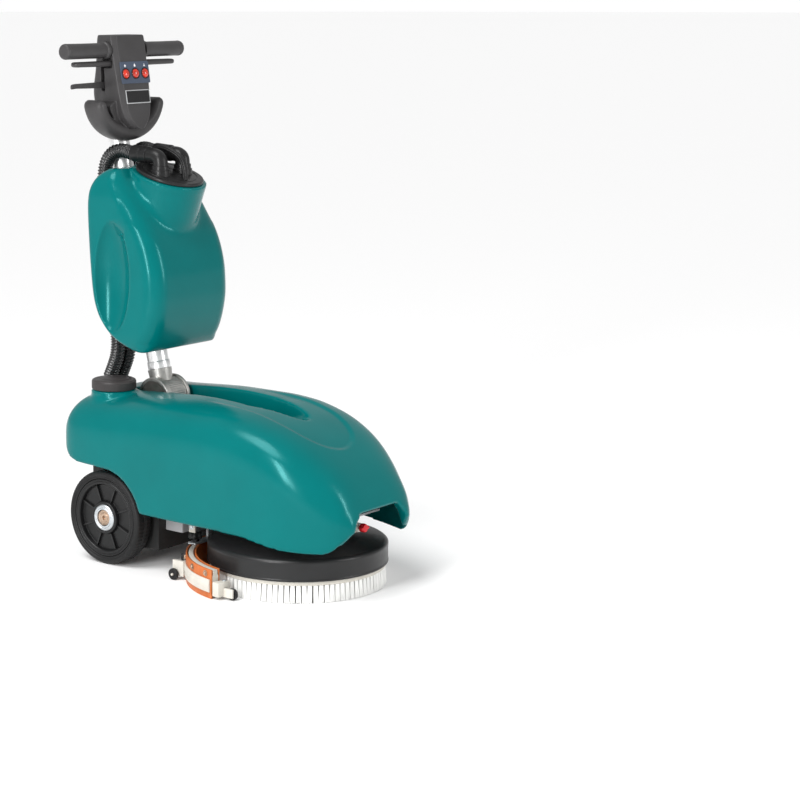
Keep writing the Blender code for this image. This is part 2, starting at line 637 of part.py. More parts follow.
def make_column(tilt):
    knuckle = place("column_knuckle", rod(0.0400, (-0.0204, HINGE.y, HINGE.z),
                                          (0.0281, HINGE.y, HINGE.z), 36), ALLOY, parent=tilt)
    neck = rod(0.0202, lean(0.020, COLUMN_LEAN), lean(0.050, COLUMN_LEAN), 24)
    combine(knuckle, cutter("knuckle_neck", neck, parent=tilt), "UNION")
    socket = rod(0.0255, lean(0.0448, COLUMN_LEAN), lean(0.060, COLUMN_LEAN), 32)
    combine(knuckle, cutter("socket", socket, parent=tilt), "UNION")
    spigot = rod(0.0200, lean(0.050, COLUMN_LEAN), lean(0.100, COLUMN_LEAN), 20)
    combine(knuckle, cutter("spigot", spigot, parent=tilt), "UNION")
    combine(knuckle, cutter("knuckle_bore", rod(0.0063, (-0.05, HINGE.y, HINGE.z),
                                                (0.05, HINGE.y, HINGE.z), 16), parent=tilt))
    top = (0.936 - HINGE.z) / math.cos(math.radians(COLUMN_LEAN))
    column = place("column_tube", rod(TUBE_RADIUS, lean(0.060 + GAP, COLUMN_LEAN),
                                      lean(top, COLUMN_LEAN), 32), SILVER, parent=tilt)
    combine(column, cutter("tube_bore", rod(TUBE_RADIUS - TUBE_WALL, lean(0.040, COLUMN_LEAN),
                                            lean(top + 0.02, COLUMN_LEAN), 24), parent=tilt))


# Recovery tank and lid --------------------------------------------------------------------------

def tank_ring(z, inset=0.0, corner_points=4):
    """A level slice of the tank: large front corners, smaller rear ones."""
    front = smooth(TANK_FRONT, z) + inset
    rear = smooth(TANK_REAR, z) - inset
    half = smooth(TANK_SIDE, z) - inset
    depth = rear - front
    front_radius = min(0.038, 0.45 * depth)
    rear_radius = min(0.015, 0.45 * depth)
    outline = []
    for radius, y, start in ((rear_radius, rear - rear_radius, 90), (front_radius, front + front_radius, 0)):
        for i in range(corner_points + 1):
            angle = math.radians(start - 90 * i / corner_points)
            outline.append((half - radius + radius * math.cos(angle), y + radius * math.sin(angle), z))
    return outline + [(-x, y, level) for x, y, level in reversed(outline)]


def channel_ring(z, grow=0.0):
    """The slot down the tank's back that the column stands in, at one height."""
    front = column_y(z) - 0.0285 - grow
    half = 0.0290 + grow
    return [(half, front, z), (half, 0.420, z), (-half, 0.420, z), (-half, front, z)]


def make_recovery_tank(lift):
    levels = [0.452, 0.460, 0.476, 0.500, 0.530, 0.567, 0.612, 0.655, 0.700, 0.750, 0.795, 0.818,
              0.832]
    tank = place("recovery_tank", loft([tank_ring(z) for z in levels]), TEAL, parent=lift)
    down = Vector((0, math.sin(math.radians(LID_TILT)), -math.cos(math.radians(LID_TILT))))
    neck = rod(NECK_RADIUS - 0.003, LID_CENTRE + 0.095 * down, LID_CENTRE + GAP * down, 32, NECK_RADIUS)
    combine(tank, cutter("tank_neck", neck, parent=lift), "UNION")
    inside = cutter("waste_space", loft(
        [tank_ring(z, TANK_WALL, 3) for z in (0.466, 0.480, 0.510, 0.567, 0.650, 0.730, 0.790, 0.822)]),
        parent=lift)
    combine(inside, cutter("channel_wall", loft([channel_ring(z, TANK_WALL) for z in (0.40, 0.90)]),
                           parent=lift))
    for side in (-1, 1):
        wall = egg((side * GRIP_DIMPLE.x, GRIP_DIMPLE.y, GRIP_DIMPLE.z), (0.0485, 0.0590, 0.1430), 6, 12)
        combine(inside, cutter(f"grip_wall_{side}", wall, (0, 0, 0), parent=lift))
    combine(tank, inside)
    for side in (-1, 1):
        dimple = egg((side * GRIP_DIMPLE.x, GRIP_DIMPLE.y, GRIP_DIMPLE.z), (0.0440, 0.0545, 0.1385), 8, 16)
        combine(tank, cutter(f"grip_dimple_{side}", dimple, parent=lift))
    combine(tank, cutter("channel", loft([channel_ring(z) for z in (0.40, 0.90)]), parent=lift))
    bore = rod(0.0680, LID_CENTRE + 0.060 * down, LID_CENTRE - 0.02 * down, 32)
    combine(tank, cutter("tank_mouth", bore, parent=lift))


LID_TOP = 0.0073


def elbow_points(x):
    return [(x, 0.187, 0.815), (x, 0.187, 0.8400), (x, 0.1895, 0.8515), (x, 0.1985, 0.8575),
            (x, 0.212, 0.8590), (x, 0.2620, 0.8620)]


def make_lid(lift):
    turned("tank_lid",
           [(0.0, LID_TOP), (0.0640, LID_TOP), (0.0700, LID_TOP), (LID_RADIUS, 0.0055), (LID_RADIUS, 0.0010),
            (0.0720, GAP), (0.0670, GAP), (0.0665, -0.0120), (0.0, -0.0120)],
           BLACK, LID_CENTRE, (LID_TILT, 0, 0), lift, steps=32)
    floor = cutter("lid_plane", block((-0.10, -0.10, -0.10), (0.10, 0.10, LID_TOP + GAP)),
                   LID_CENTRE, (LID_TILT, 0, 0), lift)
    for name, x in (("near", -0.035), ("far", 0.035)):
        route = through(elbow_points(x), 12)
        pipe = as_mesh(tube("hose_elbow_" + name, route, 0.0155, BLACK, resolution=3), BLACK, lift)
        cuff = rod(0.0175, (x, 0.2180, 0.8594), (x, 0.2620, 0.8620), 24)
        combine(pipe, cutter("cuff_" + name, cuff, parent=lift), "UNION")
        flange = rod(0.0205, (x, 0.187, 0.815), (x, 0.187, 0.8270), 24)
        combine(pipe, cutter("flange_" + name, flange, parent=lift), "UNION")
        combine(pipe, floor)
    route = [(0, 0.149, 0.800), (0, 0.150, 0.830), (0, 0.160, 0.852), (0, 0.184, 0.866),
             (0, 0.214, 0.8735), (0, 0.234, 0.8680), (0, 0.2410, 0.852), (0, 0.2400, 0.825)]
    handle = as_mesh(tube("lid_handle", through(route, 14), 0.0070, BLACK), BLACK, lift)
    combine(handle, floor)


# Hoses ------------------------------------------------------------------------------------------

def hose_route(x_lid, x_port, x_middle):
    """Corners of one hose, from its cuff on the lid, down behind the tank, to its port on the body."""
    wide = 1.18 * x_lid
    return [(x_lid, 0.2620, 0.8620), (x_lid, 0.2740, 0.8627), (1.03 * x_lid, 0.2900, 0.8655),
            (1.12 * x_lid, 0.3080, 0.8635), (wide, 0.3250, 0.8520), (wide, 0.3370, 0.8320),
            (wide, 0.3425, 0.8040), (wide, 0.3435, 0.7500), (x_middle, 0.3430, 0.6800),
            (x_port, 0.3385, 0.6000), (x_port, 0.3280, 0.5500), (x_port, 0.3150, 0.5000),
            (x_port, 0.3070, 0.4600), (x_port, 0.3090, 0.4250), (x_port, 0.3190, 0.3980),
            (x_port, 0.3300, 0.3750), (x_port, 0.3310, 0.3640), (x_port, 0.3310, PORT_TOP)]


HOSES = {"near": hose_route(-0.035, -0.042, -0.040), "far": hose_route(0.035, -0.006, 0.020)}
HOSE_POINTS = 27
UPPER_LAST = 8
MIDDLE_LAST = 20


def hose_pieces(route):
    """The hose's three stretches, with a hairline between neighbours and at both ends."""
    points = [Vector(point) for point in through(route, HOSE_POINTS)]
    first = (Vector(route[1]) - Vector(route[0])).normalized()
    last = (Vector(route[-1]) - Vector(route[-2])).normalized()
    points[1] = points[0] + first * (points[1] - points[0]).length
    points[-2] = points[-1] - last * (points[-1] - points[-2]).length
    points[0] += first * GAP
    points[-1] -= last * GAP
    pieces = []
    piece = [points[0]]
    for i, point in enumerate(points[1:], 1):
        piece.append(point)
        if i in (UPPER_LAST, MIDDLE_LAST):
            along = (points[i + 1] - point).normalized()
            middle = (point + points[i + 1]) / 2
            pieces.append(piece + [middle - along * GAP / 2])
            piece = [middle + along * GAP / 2]
    return pieces + [piece]


def make_hoses(lid, tank, column):
    for name, route in HOSES.items():
        upper, middle, lower = hose_pieces(route)
        tube("hose_upper_" + name, upper, HOSE_RADIUS, HOSE, lid)
        tube("hose_middle_" + name, middle, HOSE_RADIUS, HOSE, tank)
        tube("hose_lower_" + name, lower, HOSE_RADIUS, HOSE, column)


# Control head -----------------------------------------------------------------------------------

def head_ring(z):
    """A level slice of the control head: chamfered front edges and rounded rear corners."""
    half = smooth(HEAD_SIDE, z)
    front = face_y(z)
    rear = smooth(HEAD_REAR, z)
    edge = min(0.007, 0.4 * half)
    corner = min(0.016, 0.8 * half)
    right = [(half - edge, front), (half, front + edge)]
    for i in range(4):
        angle = math.radians(90 * i / 3)
        right.append((half - corner + corner * math.cos(angle), rear - corner + corner * math.sin(angle)))
    outline = right + [(-x, y) for x, y in reversed(right)]
    return [(x, y, z) for x, y in outline]


WING_CENTRE_Z = 0.978


def wing_ring(degrees):
    """A slice across the U-shaped guard round the head's lower end."""
    angle = math.radians(degrees)
    from_tip = min(degrees - 180, 360 - degrees)
    taper = math.sin(math.radians(min(3 * from_tip, 90)))
    half_thick = 0.0130 * (0.50 + 0.50 * taper)
    half_deep = 0.0270 * (0.80 + 0.20 * taper)
    radius = 0.0810 + 0.0120 * math.cos(angle) ** 2
    out = Vector((math.cos(angle), 0, math.sin(angle)))
    centre = Vector((0, 0.321, WING_CENTRE_Z)) + out * radius
    ring = []
    for i in range(12):
        turn = math.radians(30 * i)
        across = math.copysign(abs(math.cos(turn)) ** 0.7, math.cos(turn))
        deep = math.copysign(abs(math.sin(turn)) ** 0.7, math.sin(turn))
        ring.append(centre + out * half_thick * across + Vector((0, half_deep * deep, 0)))
    return ring


def make_head(tilt):
    levels = [0.911, 0.915, 0.924, 0.938, 0.960, 0.985, 1.020, 1.060, 1.100, 1.108]
    head = place("head_shell", loft([head_ring(z) for z in levels]), DARK, parent=tilt)
    along = math.cos(math.radians(COLUMN_LEAN))
    sleeve = rod(0.0285, lean((0.897 - HINGE.z) / along, COLUMN_LEAN),
                 lean((0.945 - HINGE.z) / along, COLUMN_LEAN), 28, 0.0252)
    combine(head, cutter("head_sleeve", sleeve, parent=tilt), "UNION")
    bore = rod(TUBE_RADIUS + 0.0004, lean((0.880 - HINGE.z) / along, COLUMN_LEAN),
               lean((0.938 - HINGE.z) / along, COLUMN_LEAN), 28)
    combine(head, cutter("head_bore", bore, parent=tilt))
    bar = rod(0.0114, GRIP_AXIS - Vector((0.1, 0, 0)), GRIP_AXIS + Vector((0.1, 0, 0)), 20)
    combine(head, cutter("bar_bore", bar, parent=tilt))
    slot = block((-0.080, 0.3325, 0.9900), (0.0320, 0.3415, 1.0460))
    combine(head, cutter("lever_slot", slot, parent=tilt))
    for side in (-1, 1):
        inner, outer = side * 0.0420, side * 0.0700
        pocket = block((min(inner, outer), 0.3095, 1.0400), (max(inner, outer), 0.3335, 1.0585))
        combine(head, cutter(f"trigger_pocket_{side}", pocket, parent=tilt))

    wing = place("head_guard", loft([wing_ring(183 + 174 * i / 20) for i in range(21)]), DARK, parent=tilt)
    clear = rod(0.0296, lean((0.850 - HINGE.z) / along, COLUMN_LEAN),
                lean((0.990 - HINGE.z) / along, COLUMN_LEAN), 28)
    combine(wing, cutter("guard_clearance", clear, parent=tilt))


def on_face(x, z, out=0.0):
    """A point on the control face at a height, or a distance out from it."""
    angle = math.radians(FACE_LEAN)
    return Vector((x, face_y(z), z)) + out * Vector((0, -math.cos(angle), math.sin(angle)))


SWITCH_X = (-0.030, 0.0, 0.030)
SWITCH_Z = 1.027


def make_controls(tilt):
    panel = place("switch_panel", block((-0.044, -0.0022, -0.0230), (0.044, -GAP, 0.0235)), PANEL,
                  on_face(0, 1.0290), (-FACE_LEAN, 0, 0), tilt)
    for number, x in enumerate(SWITCH_X, 1):
        centre = on_face(x, SWITCH_Z)
        press = pivot(f"switch_{number}_press", centre, (-FACE_LEAN, 0, 0), tilt)
        hole = cutter(f"switch_hole_{number}", rod(0.0102, (0, 0.004, 0), (0, -0.006, 0), 20), centre,
                      (-FACE_LEAN, 0, 0), tilt)
        combine(panel, hole)
        turned(f"switch_{number}",
               [(0.0, 0.0080), (0.0050, 0.0072), (0.0082, 0.0048), (0.0096, 0.0030),
                (0.0096, 0.0017), (0.0, 0.0017)],
               RED, centre, (90 - FACE_LEAN, 0, 0), press, steps=20)
    plate = place("label_plate", block((-0.0370, -0.0020, -0.0145), (0.0370, -GAP, 0.0145)), BLACK,
                  on_face(0, 0.9785), (-FACE_LEAN, 0, 0), tilt)
    round_edges(plate, 0.0006, 1)

    reach = Vector((0.172, 0, 0))
    tube("handlebar", [GRIP_AXIS - reach, GRIP_AXIS + reach], 0.0110, ZINC, tilt, resolution=3)
    for side, name in ((-1, "near"), (1, "far")):
        turned("grip_" + name,
               [(0.0, GRIP_END_X), (0.0120, GRIP_END_X), (GRIP_RADIUS, GRIP_END_X - 0.004),
                (GRIP_RADIUS, 0.0545), (0.0114, 0.0545), (0.0114, 0.1725), (0.0, 0.1725)],
               DARK, GRIP_AXIS, (0, 90 * side, 0), tilt, steps=24)
        hinge = pivot("trigger_pivot_" + name, (side * 0.0500, 0.3215, 1.0495), parent=tilt)
        inner, outer = side * 0.0455, side * 0.1550
        paddle = block((min(inner, outer), 0.3120, 1.0445), (max(inner, outer), 0.3310, 1.0545))
        trigger = place("trigger_" + name, paddle, DARK, parent=hinge)
        round_edges(trigger, 0.0035, 2)


LEVER_PIVOT = Vector((0.020, 0.337, 1.003))


def make_lift_lever(tilt):
    swing = pivot("lift_lever_pivot", LEVER_PIVOT, parent=tilt)
    near, far = LEVER_PIVOT.y - 0.0025, LEVER_PIVOT.y + 0.0025
    rings = []
    for x, half in ((-0.1450, 0.0050), (-0.0550, 0.0068), (LEVER_PIVOT.x, 0.0068)):
        low, high = LEVER_PIVOT.z - half, LEVER_PIVOT.z + half
        rings.append([(x, near, low), (x, near, high), (x, far, high), (x, far, low)])
    lever = place("lift_lever", loft(rings), DARK, parent=swing)
    boss = rod(0.0085, LEVER_PIVOT + Vector((0, -0.0025, 0)), LEVER_PIVOT + Vector((0, 0.0025, 0)), 20)
    combine(lever, cutter("lever_boss", boss, parent=swing), "UNION")


# Assembly ---------------------------------------------------------------------------------------

make_body()
make_filler_cap()
make_chassis()
make_flow_valve()
make_brush()
make_wheel("near", -1)
make_wheel("far", 1)
make_squeegee()
make_hinge_base()

column_tilt = pivot("column_tilt", HINGE)
tank_lift = pivot("tank_lift", HINGE, parent=column_tilt)
lid_lift = pivot("lid_lift", LID_CENTRE, (LID_TILT, 0, 0), tank_lift)
make_column(column_tilt)
make_recovery_tank(tank_lift)
make_lid(lid_lift)
make_hoses(lid_lift, tank_lift, column_tilt)
make_head(column_tilt)
make_controls(column_tilt)
make_lift_lever(column_tilt)
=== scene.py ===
"""Looks of a compact walk-behind floor scrubber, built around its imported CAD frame.

Metres and degrees. +Z is up, the nose faces -Y, and X = 0 is the plane of symmetry. "Near" is the
side at -X, which faces the camera, and "far" the side at +X. Sizes repeat the CAD model's driving
dimensions. Pieces are lofts, turned profiles and swept tubes; the moulded ones are joined with
Booleans, remeshed and smoothed, which gives them soft fillets.
"""

import math
import random

import bmesh
import bpy
import numpy as np
from mathutils import Matrix, Vector


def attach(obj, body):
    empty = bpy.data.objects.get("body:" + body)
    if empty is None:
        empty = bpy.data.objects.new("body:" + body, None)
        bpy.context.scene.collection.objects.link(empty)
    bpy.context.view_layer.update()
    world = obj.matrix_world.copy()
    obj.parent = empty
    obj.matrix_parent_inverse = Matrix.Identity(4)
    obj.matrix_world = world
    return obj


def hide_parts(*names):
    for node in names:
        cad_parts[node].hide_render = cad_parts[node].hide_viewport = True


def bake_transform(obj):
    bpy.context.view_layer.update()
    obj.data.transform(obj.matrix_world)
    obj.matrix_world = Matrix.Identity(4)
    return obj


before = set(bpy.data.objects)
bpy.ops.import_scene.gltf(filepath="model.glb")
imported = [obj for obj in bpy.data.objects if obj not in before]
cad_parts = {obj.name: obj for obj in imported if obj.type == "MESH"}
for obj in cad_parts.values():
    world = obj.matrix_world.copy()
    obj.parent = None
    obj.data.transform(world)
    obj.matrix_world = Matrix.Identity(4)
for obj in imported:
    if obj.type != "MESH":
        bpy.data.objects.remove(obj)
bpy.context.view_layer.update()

# Driving dimensions
GAP = 0.0003
NOSE_Y = -0.370
TAIL_Y = 0.370
BODY_HALF_WIDTH = 0.176
SHOULDER_HEIGHT = 0.130
BAY_TOP = 0.235
POCKET_DEPTH = 0.0045
POCKET_RIM = 0.010
WHEEL_RADIUS = 0.100
WHEEL_Y = 0.235
ARCH_RADIUS = 0.108
BRUSH_Y = -0.155
BRUSH_RADIUS = 0.184
DECK_RADIUS = 0.186
DECK_LOW = 0.045
# Radius and number of tufts of each ring of the brush; the outer ring is complete and dense
TUFT_RINGS = ((0.1782, 98), (0.1660, 72), (0.1480, 54), (0.1220, 44), (0.0990, 36))
TUFT_TOP = 0.0363
FILAMENT_RADIUS = 0.00112
FILAMENT_PITCH = 0.00165
SQUEEGEE_RADIUS = 0.220
TIP_ANGLE = 10.2
BLADE_HEIGHT = 0.060
HINGE = Vector((0.0, 0.210, 0.341))
HINGE_RADIUS = 0.044
COLUMN_LEAN = 13.3
COLUMN_TURN = Matrix.Rotation(-math.radians(COLUMN_LEAN), 4, "X")
TUBE_START = 0.0603
TUBE_RADIUS = 0.023
TANK_HALF_WIDTH = 0.124
TANK_LOW = 0.452
TANK_HIGH = 0.832
DIMPLE = Vector((0.134, 0.247, 0.607))
DIMPLE_SIZES = (0.0380, 0.0510, 0.1230)
LID_CENTRE = Vector((0.0, 0.193, 0.816))
LID_TILT = 17.0
NECK_DOWN = Vector((0, math.sin(math.radians(LID_TILT)), -math.cos(math.radians(LID_TILT))))
LID_RADIUS = 0.0730
LID_TOP = 0.0073
ELBOW_X = 0.035
NECK_RADIUS = 0.0810
NECK_PASSES = 110
HOSE_RADIUS = 0.0155
HOSE_PITCH = 0.0061
HOSE_RIDGE = 0.0026
STEPS_PER_PITCH = 10
FACE_POINT = Vector((0.0, 0.290, 1.027))
FACE_LEAN = 9.4
FACE_TURN = Matrix.Rotation(-math.radians(FACE_LEAN), 4, "X")
GRIP_AXIS = Vector((0.0, 0.323, 1.076))
GRIP_RADIUS = 0.0165
GRIP_END_X = 0.182
HEAD_LOW = 0.911
HEAD_HIGH = 1.108
CAP_CENTRE = Vector((-0.092, 0.272, 0.3635))
CAP_RADIUS = 0.0475
PORT_PLACES = {"near": (-0.042, 0.331), "far": (-0.006, 0.331)}
PORT_TOP = 0.3535
MOTOR_Y = 0.312
POST_X = 0.050
POST_Y = 0.045
SWITCH_X = (-0.030, 0.0, 0.030)
SWITCH_Z = 1.027
MARK_Z = 0.0148
ROLLER_Z = 0.012
SIDES = ((-1, "near"), (1, "far"))
LEVER_PIVOT = Vector((0.020, 0.337, 1.003))

# Outlines, as (place along the machine, value) points that a smooth curve passes through
BODY_TOP = [(NOSE_Y, 0.150), (-0.366, 0.176), (-0.351, 0.211), (-0.327, 0.246), (-0.290, 0.281),
            (-0.243, 0.315), (-0.171, 0.348), (-0.098, 0.364), (-0.039, 0.368), (0.052, 0.368),
            (0.230, 0.359), (0.290, 0.357), (0.320, 0.353), (0.340, 0.343), (0.356, 0.325),
            (0.366, 0.302), (TAIL_Y, 0.284)]
BODY_BOTTOM = [(NOSE_Y, 0.149), (-0.364, 0.146), (-0.354, 0.134), (-0.343, 0.116), (-0.325, 0.107),
               (-0.290, 0.105), (-0.227, 0.108), (-0.132, 0.122), (0.000, 0.123), (0.129, 0.126)]
TAIL_BOTTOM = [(0.235, 0.208), (0.300, 0.211), (0.328, 0.216), (0.348, 0.230), (0.362, 0.250),
               (TAIL_Y, 0.266)]
BODY_SIDE = [(NOSE_Y, 0.087), (-0.365, 0.101), (-0.354, 0.115), (-0.335, 0.129), (-0.310, 0.142),
             (-0.265, 0.160), (-0.210, 0.171), (-0.100, BODY_HALF_WIDTH), (0.250, BODY_HALF_WIDTH),
             (0.320, 0.173), (0.345, 0.165), (0.362, 0.150), (TAIL_Y, 0.134)]
RECESS_DRAFT = 0.066
NOTCH_SIDE = [(0.102, 0.095), (0.098, 0.130), (0.082, 0.160), (0.062, 0.182)]
RECESS_SIDE = [(-0.186, 0.003), (-0.180, 0.012), (-0.160, 0.022), (-0.130, 0.031), (-0.100, 0.038),
               (-0.050, 0.045), (0.100, 0.045), (0.262, 0.045)]
RECESS_FLOOR = [(-0.186, 0.343), (-0.160, 0.338), (-0.110, 0.322), (-0.060, 0.304), (0.000, 0.294),
                (0.262, 0.2915)]
POCKET_SIDE = [(-0.279, 0.002), (-0.276, 0.024), (-0.266, 0.046), (-0.246, 0.067), (-0.215, 0.082),
               (-0.170, 0.090), (-0.100, 0.091), (0.060, 0.086)]
TANK_FRONT = [(TANK_LOW, 0.166), (0.462, 0.154), (0.490, 0.139), (0.530, 0.127), (0.567, 0.122),
              (0.612, 0.124), (0.648, 0.131), (0.684, 0.144), (0.720, 0.165), (0.770, 0.200),
              (0.810, 0.232), (TANK_HIGH, 0.250)]
TANK_REAR = [(TANK_LOW, 0.190), (0.460, 0.212), (0.481, 0.255), (0.503, 0.279), (0.527, 0.296),
             (0.563, 0.308), (0.621, 0.315), (0.676, 0.319), (0.749, 0.322), (0.785, 0.318),
             (0.806, 0.309), (0.822, 0.295), (TANK_HIGH, 0.280)]
TANK_SIDE = [(TANK_LOW, 0.114), (0.462, 0.121), (0.490, TANK_HALF_WIDTH), (0.770, TANK_HALF_WIDTH),
             (0.806, 0.118), (0.824, 0.108), (TANK_HIGH, 0.098)]
HEAD_SIDE = [(HEAD_LOW, 0.012), (0.915, 0.021), (0.924, 0.032), (0.938, 0.040), (0.960, 0.046),
             (1.000, 0.049), (1.100, 0.0525), (HEAD_HIGH, 0.050)]
HEAD_REAR = [(HEAD_LOW, 0.350), (0.940, 0.366), (0.985, 0.374), (1.040, 0.364), (HEAD_HIGH, 0.358)]


# Camera, light and floor ------------------------------------------------------------------------

CAMERA_AT = Vector((-3.432, -2.844, 1.217))
CAMERA_TARGET = Vector((-0.003, 0.008, 0.530))
LENS = 97.9
WORLD_LIGHT = 0.52
SUN_POWER = 1.80
SUN_FROM = Vector((-0.557, 0.120, 1.0))
SUN_SPREAD = 30
FLOOR_REACH = 100.0
# Name, place, aim, size and power of each strip light
SOFTBOXES = (("left", (-3.0, -0.45, 1.4), (0, 0.2, 0.5), (0.45, 1.8), 62),
             ("right", (0.9, -2.7, 1.5), (0, -0.2, 0.5), (0.26, 1.7), 26))


def make_camera():
    """A long lens at the photograph's viewing angle; the shift places the object left of centre."""
    data = bpy.data.cameras.new("camera")
    data.lens = LENS
    data.sensor_width = 36.0
    data.shift_x = 0.205
    data.shift_y = -0.1025
    data.clip_end = 4 * FLOOR_REACH
    camera = bpy.data.objects.new("camera", data)
    camera.location = CAMERA_AT
    camera.rotation_euler = (CAMERA_TARGET - CAMERA_AT).to_track_quat("-Z", "Y").to_euler()
    bpy.context.scene.collection.objects.link(camera)
    bpy.context.scene.camera = camera


def softbox(name, at, aim, size, power):
    data = bpy.data.lights.new(name, "AREA")
    data.shape = "RECTANGLE"
    data.size, data.size_y = size
    data.energy = power
    lamp = bpy.data.objects.new(name, data)
    lamp.location = at
    lamp.rotation_euler = (Vector(aim) - Vector(at)).to_track_quat("-Z", "Y").to_euler()
    bpy.context.scene.collection.objects.link(lamp)


def staged(name, mesh, colour, glow=0.0):
    """A floor or backdrop with one plain paint."""
    obj = thing(name, mesh)
    paint = bpy.data.materials.new(name + "_paint")
    paint.use_nodes = True
    shader = paint.node_tree.nodes["Principled BSDF"]
    shader.inputs["Base Color"].default_value = (*colour, 1.0)
    shader.inputs["Roughness"].default_value = 0.7
    shader.inputs["Specular IOR Level"].default_value = 0.1
    if glow:
        shader.inputs["Emission Color"].default_value = (1.0, 1.0, 1.0, 1.0)
        shader.inputs["Emission Strength"].default_value = glow
    obj.data.materials.append(paint)
    return obj


def make_studio():
    """Even light from all round, a wide soft sun, two strip lights and a dome only the camera sees."""
    world = bpy.data.worlds.new("studio")
    world.use_nodes = True
    backdrop = world.node_tree.nodes["Background"]
    backdrop.inputs["Color"].default_value = (1.0, 1.0, 1.0, 1.0)
    backdrop.inputs["Strength"].default_value = WORLD_LIGHT
    bpy.context.scene.world = world
    bpy.context.scene.view_settings.view_transform = "Standard"
    sun = bpy.data.lights.new("sun", "SUN")
    sun.energy = SUN_POWER
    sun.angle = math.radians(SUN_SPREAD)
    lamp = bpy.data.objects.new("sun", sun)
    lamp.rotation_euler = SUN_FROM.to_track_quat("Z", "Y").to_euler()
    bpy.context.scene.collection.objects.link(lamp)
    for box in SOFTBOXES:
        softbox(*box)

    floor = bmesh.new()
    bmesh.ops.create_grid(floor, x_segments=2, y_segments=2, size=FLOOR_REACH)
    staged("floor", floor, (0.96, 0.96, 0.96))
    dome = bmesh.new()
    bmesh.ops.create_icosphere(dome, subdivisions=4, radius=0.9 * FLOOR_REACH)
    sky = staged("sky", dome, (0.0, 0.0, 0.0), 1.0)
    for kind in ("diffuse", "glossy", "transmission", "shadow", "volume_scatter"):
        setattr(sky, "visible_" + kind, False)


# Materials --------------------------------------------------------------------------------------

def surface(name, colour, roughness, metallic=0.0, mottle=0.08, mottle_scale=18.0, grain=0.00012,
            grain_scale=900.0, vary=0.06, pale_edges=0.0, pale_edge_colour=None, coat=0.0, stretch=(1, 1, 1), glow=0.0,
            gloss=0.25, sheen_tint=None):
    """A procedural finish: mottled colour, uneven roughness, a fine grain and, when asked, paler convex
    edges, which on several finishes are painted highlights.
    """
    made = bpy.data.materials.new(name)
    made.use_nodes = True
    made.diffuse_color = (*colour, 1.0)
    tree = made.node_tree
    shader = tree.nodes["Principled BSDF"]
    shader.inputs["Metallic"].default_value = metallic
    shader.inputs["Specular IOR Level"].default_value = gloss
    if sheen_tint:
        shader.inputs["Specular Tint"].default_value = (*sheen_tint, 1.0)
    if coat:
        shader.inputs["Coat Weight"].default_value = coat
        shader.inputs["Coat Roughness"].default_value = 0.12
    place = tree.nodes.new("ShaderNodeTexCoord")
    squeeze = tree.nodes.new("ShaderNodeMapping")
    squeeze.inputs["Scale"].default_value = stretch
    tree.links.new(place.outputs["Object"], squeeze.inputs["Vector"])

    def noise(scale, detail):
        node = tree.nodes.new("ShaderNodeTexNoise")
        node.inputs["Scale"].default_value = scale
        node.inputs["Detail"].default_value = detail
        tree.links.new(squeeze.outputs["Vector"], node.inputs["Vector"])
        return node.outputs["Fac"]

    def spread(source, low, high, from_low=0.3, from_high=0.7):
        node = tree.nodes.new("ShaderNodeMapRange")
        node.inputs["From Min"].default_value = from_low
        node.inputs["From Max"].default_value = from_high
        node.inputs["To Min"].default_value = low
        node.inputs["To Max"].default_value = high
        tree.links.new(source, node.inputs["Value"])
        return node.outputs["Result"]

    def blend(factor, first, second):
        node = tree.nodes.new("ShaderNodeMix")
        node.data_type = "RGBA"
        tree.links.new(factor, node.inputs["Factor"])
        for value, socket in ((first, node.inputs[6]), (second, node.inputs[7])):
            if isinstance(value, tuple):
                socket.default_value = (*value, 1.0)
            else:
                tree.links.new(value, socket)
        return node.outputs[2]

    darker = tuple(c * (1 - mottle) for c in colour)
    lighter = tuple(min(1.0, c * (1 + mottle)) for c in colour)
    paint = blend(spread(noise(mottle_scale, 5.0), 0.0, 1.0), darker, lighter)
    # Pointiness pales the convex edges; on the teal, black, deck, tyre, rim and hose finishes these pale
    # edges are painted highlights.
    if pale_edges:
        edge = tree.nodes.new("ShaderNodeNewGeometry")
        amount = spread(edge.outputs["Pointiness"], 0.0, pale_edges, 0.54, 0.66)
        paint = blend(amount, paint, pale_edge_colour)
    tree.links.new(paint, shader.inputs["Base Color"])
    rough = spread(noise(mottle_scale * 3.1, 4.0), roughness - vary, roughness + vary)
    tree.links.new(rough, shader.inputs["Roughness"])
    bump = tree.nodes.new("ShaderNodeBump")
    bump.inputs["Strength"].default_value = 0.6
    bump.inputs["Distance"].default_value = grain
    tree.links.new(noise(grain_scale, 3.0), bump.inputs["Height"])
    tree.links.new(bump.outputs["Normal"], shader.inputs["Normal"])
    if glow:
        shader.inputs["Emission Color"].default_value = (*colour, 1.0)
        shader.inputs["Emission Strength"].default_value = glow
    return made


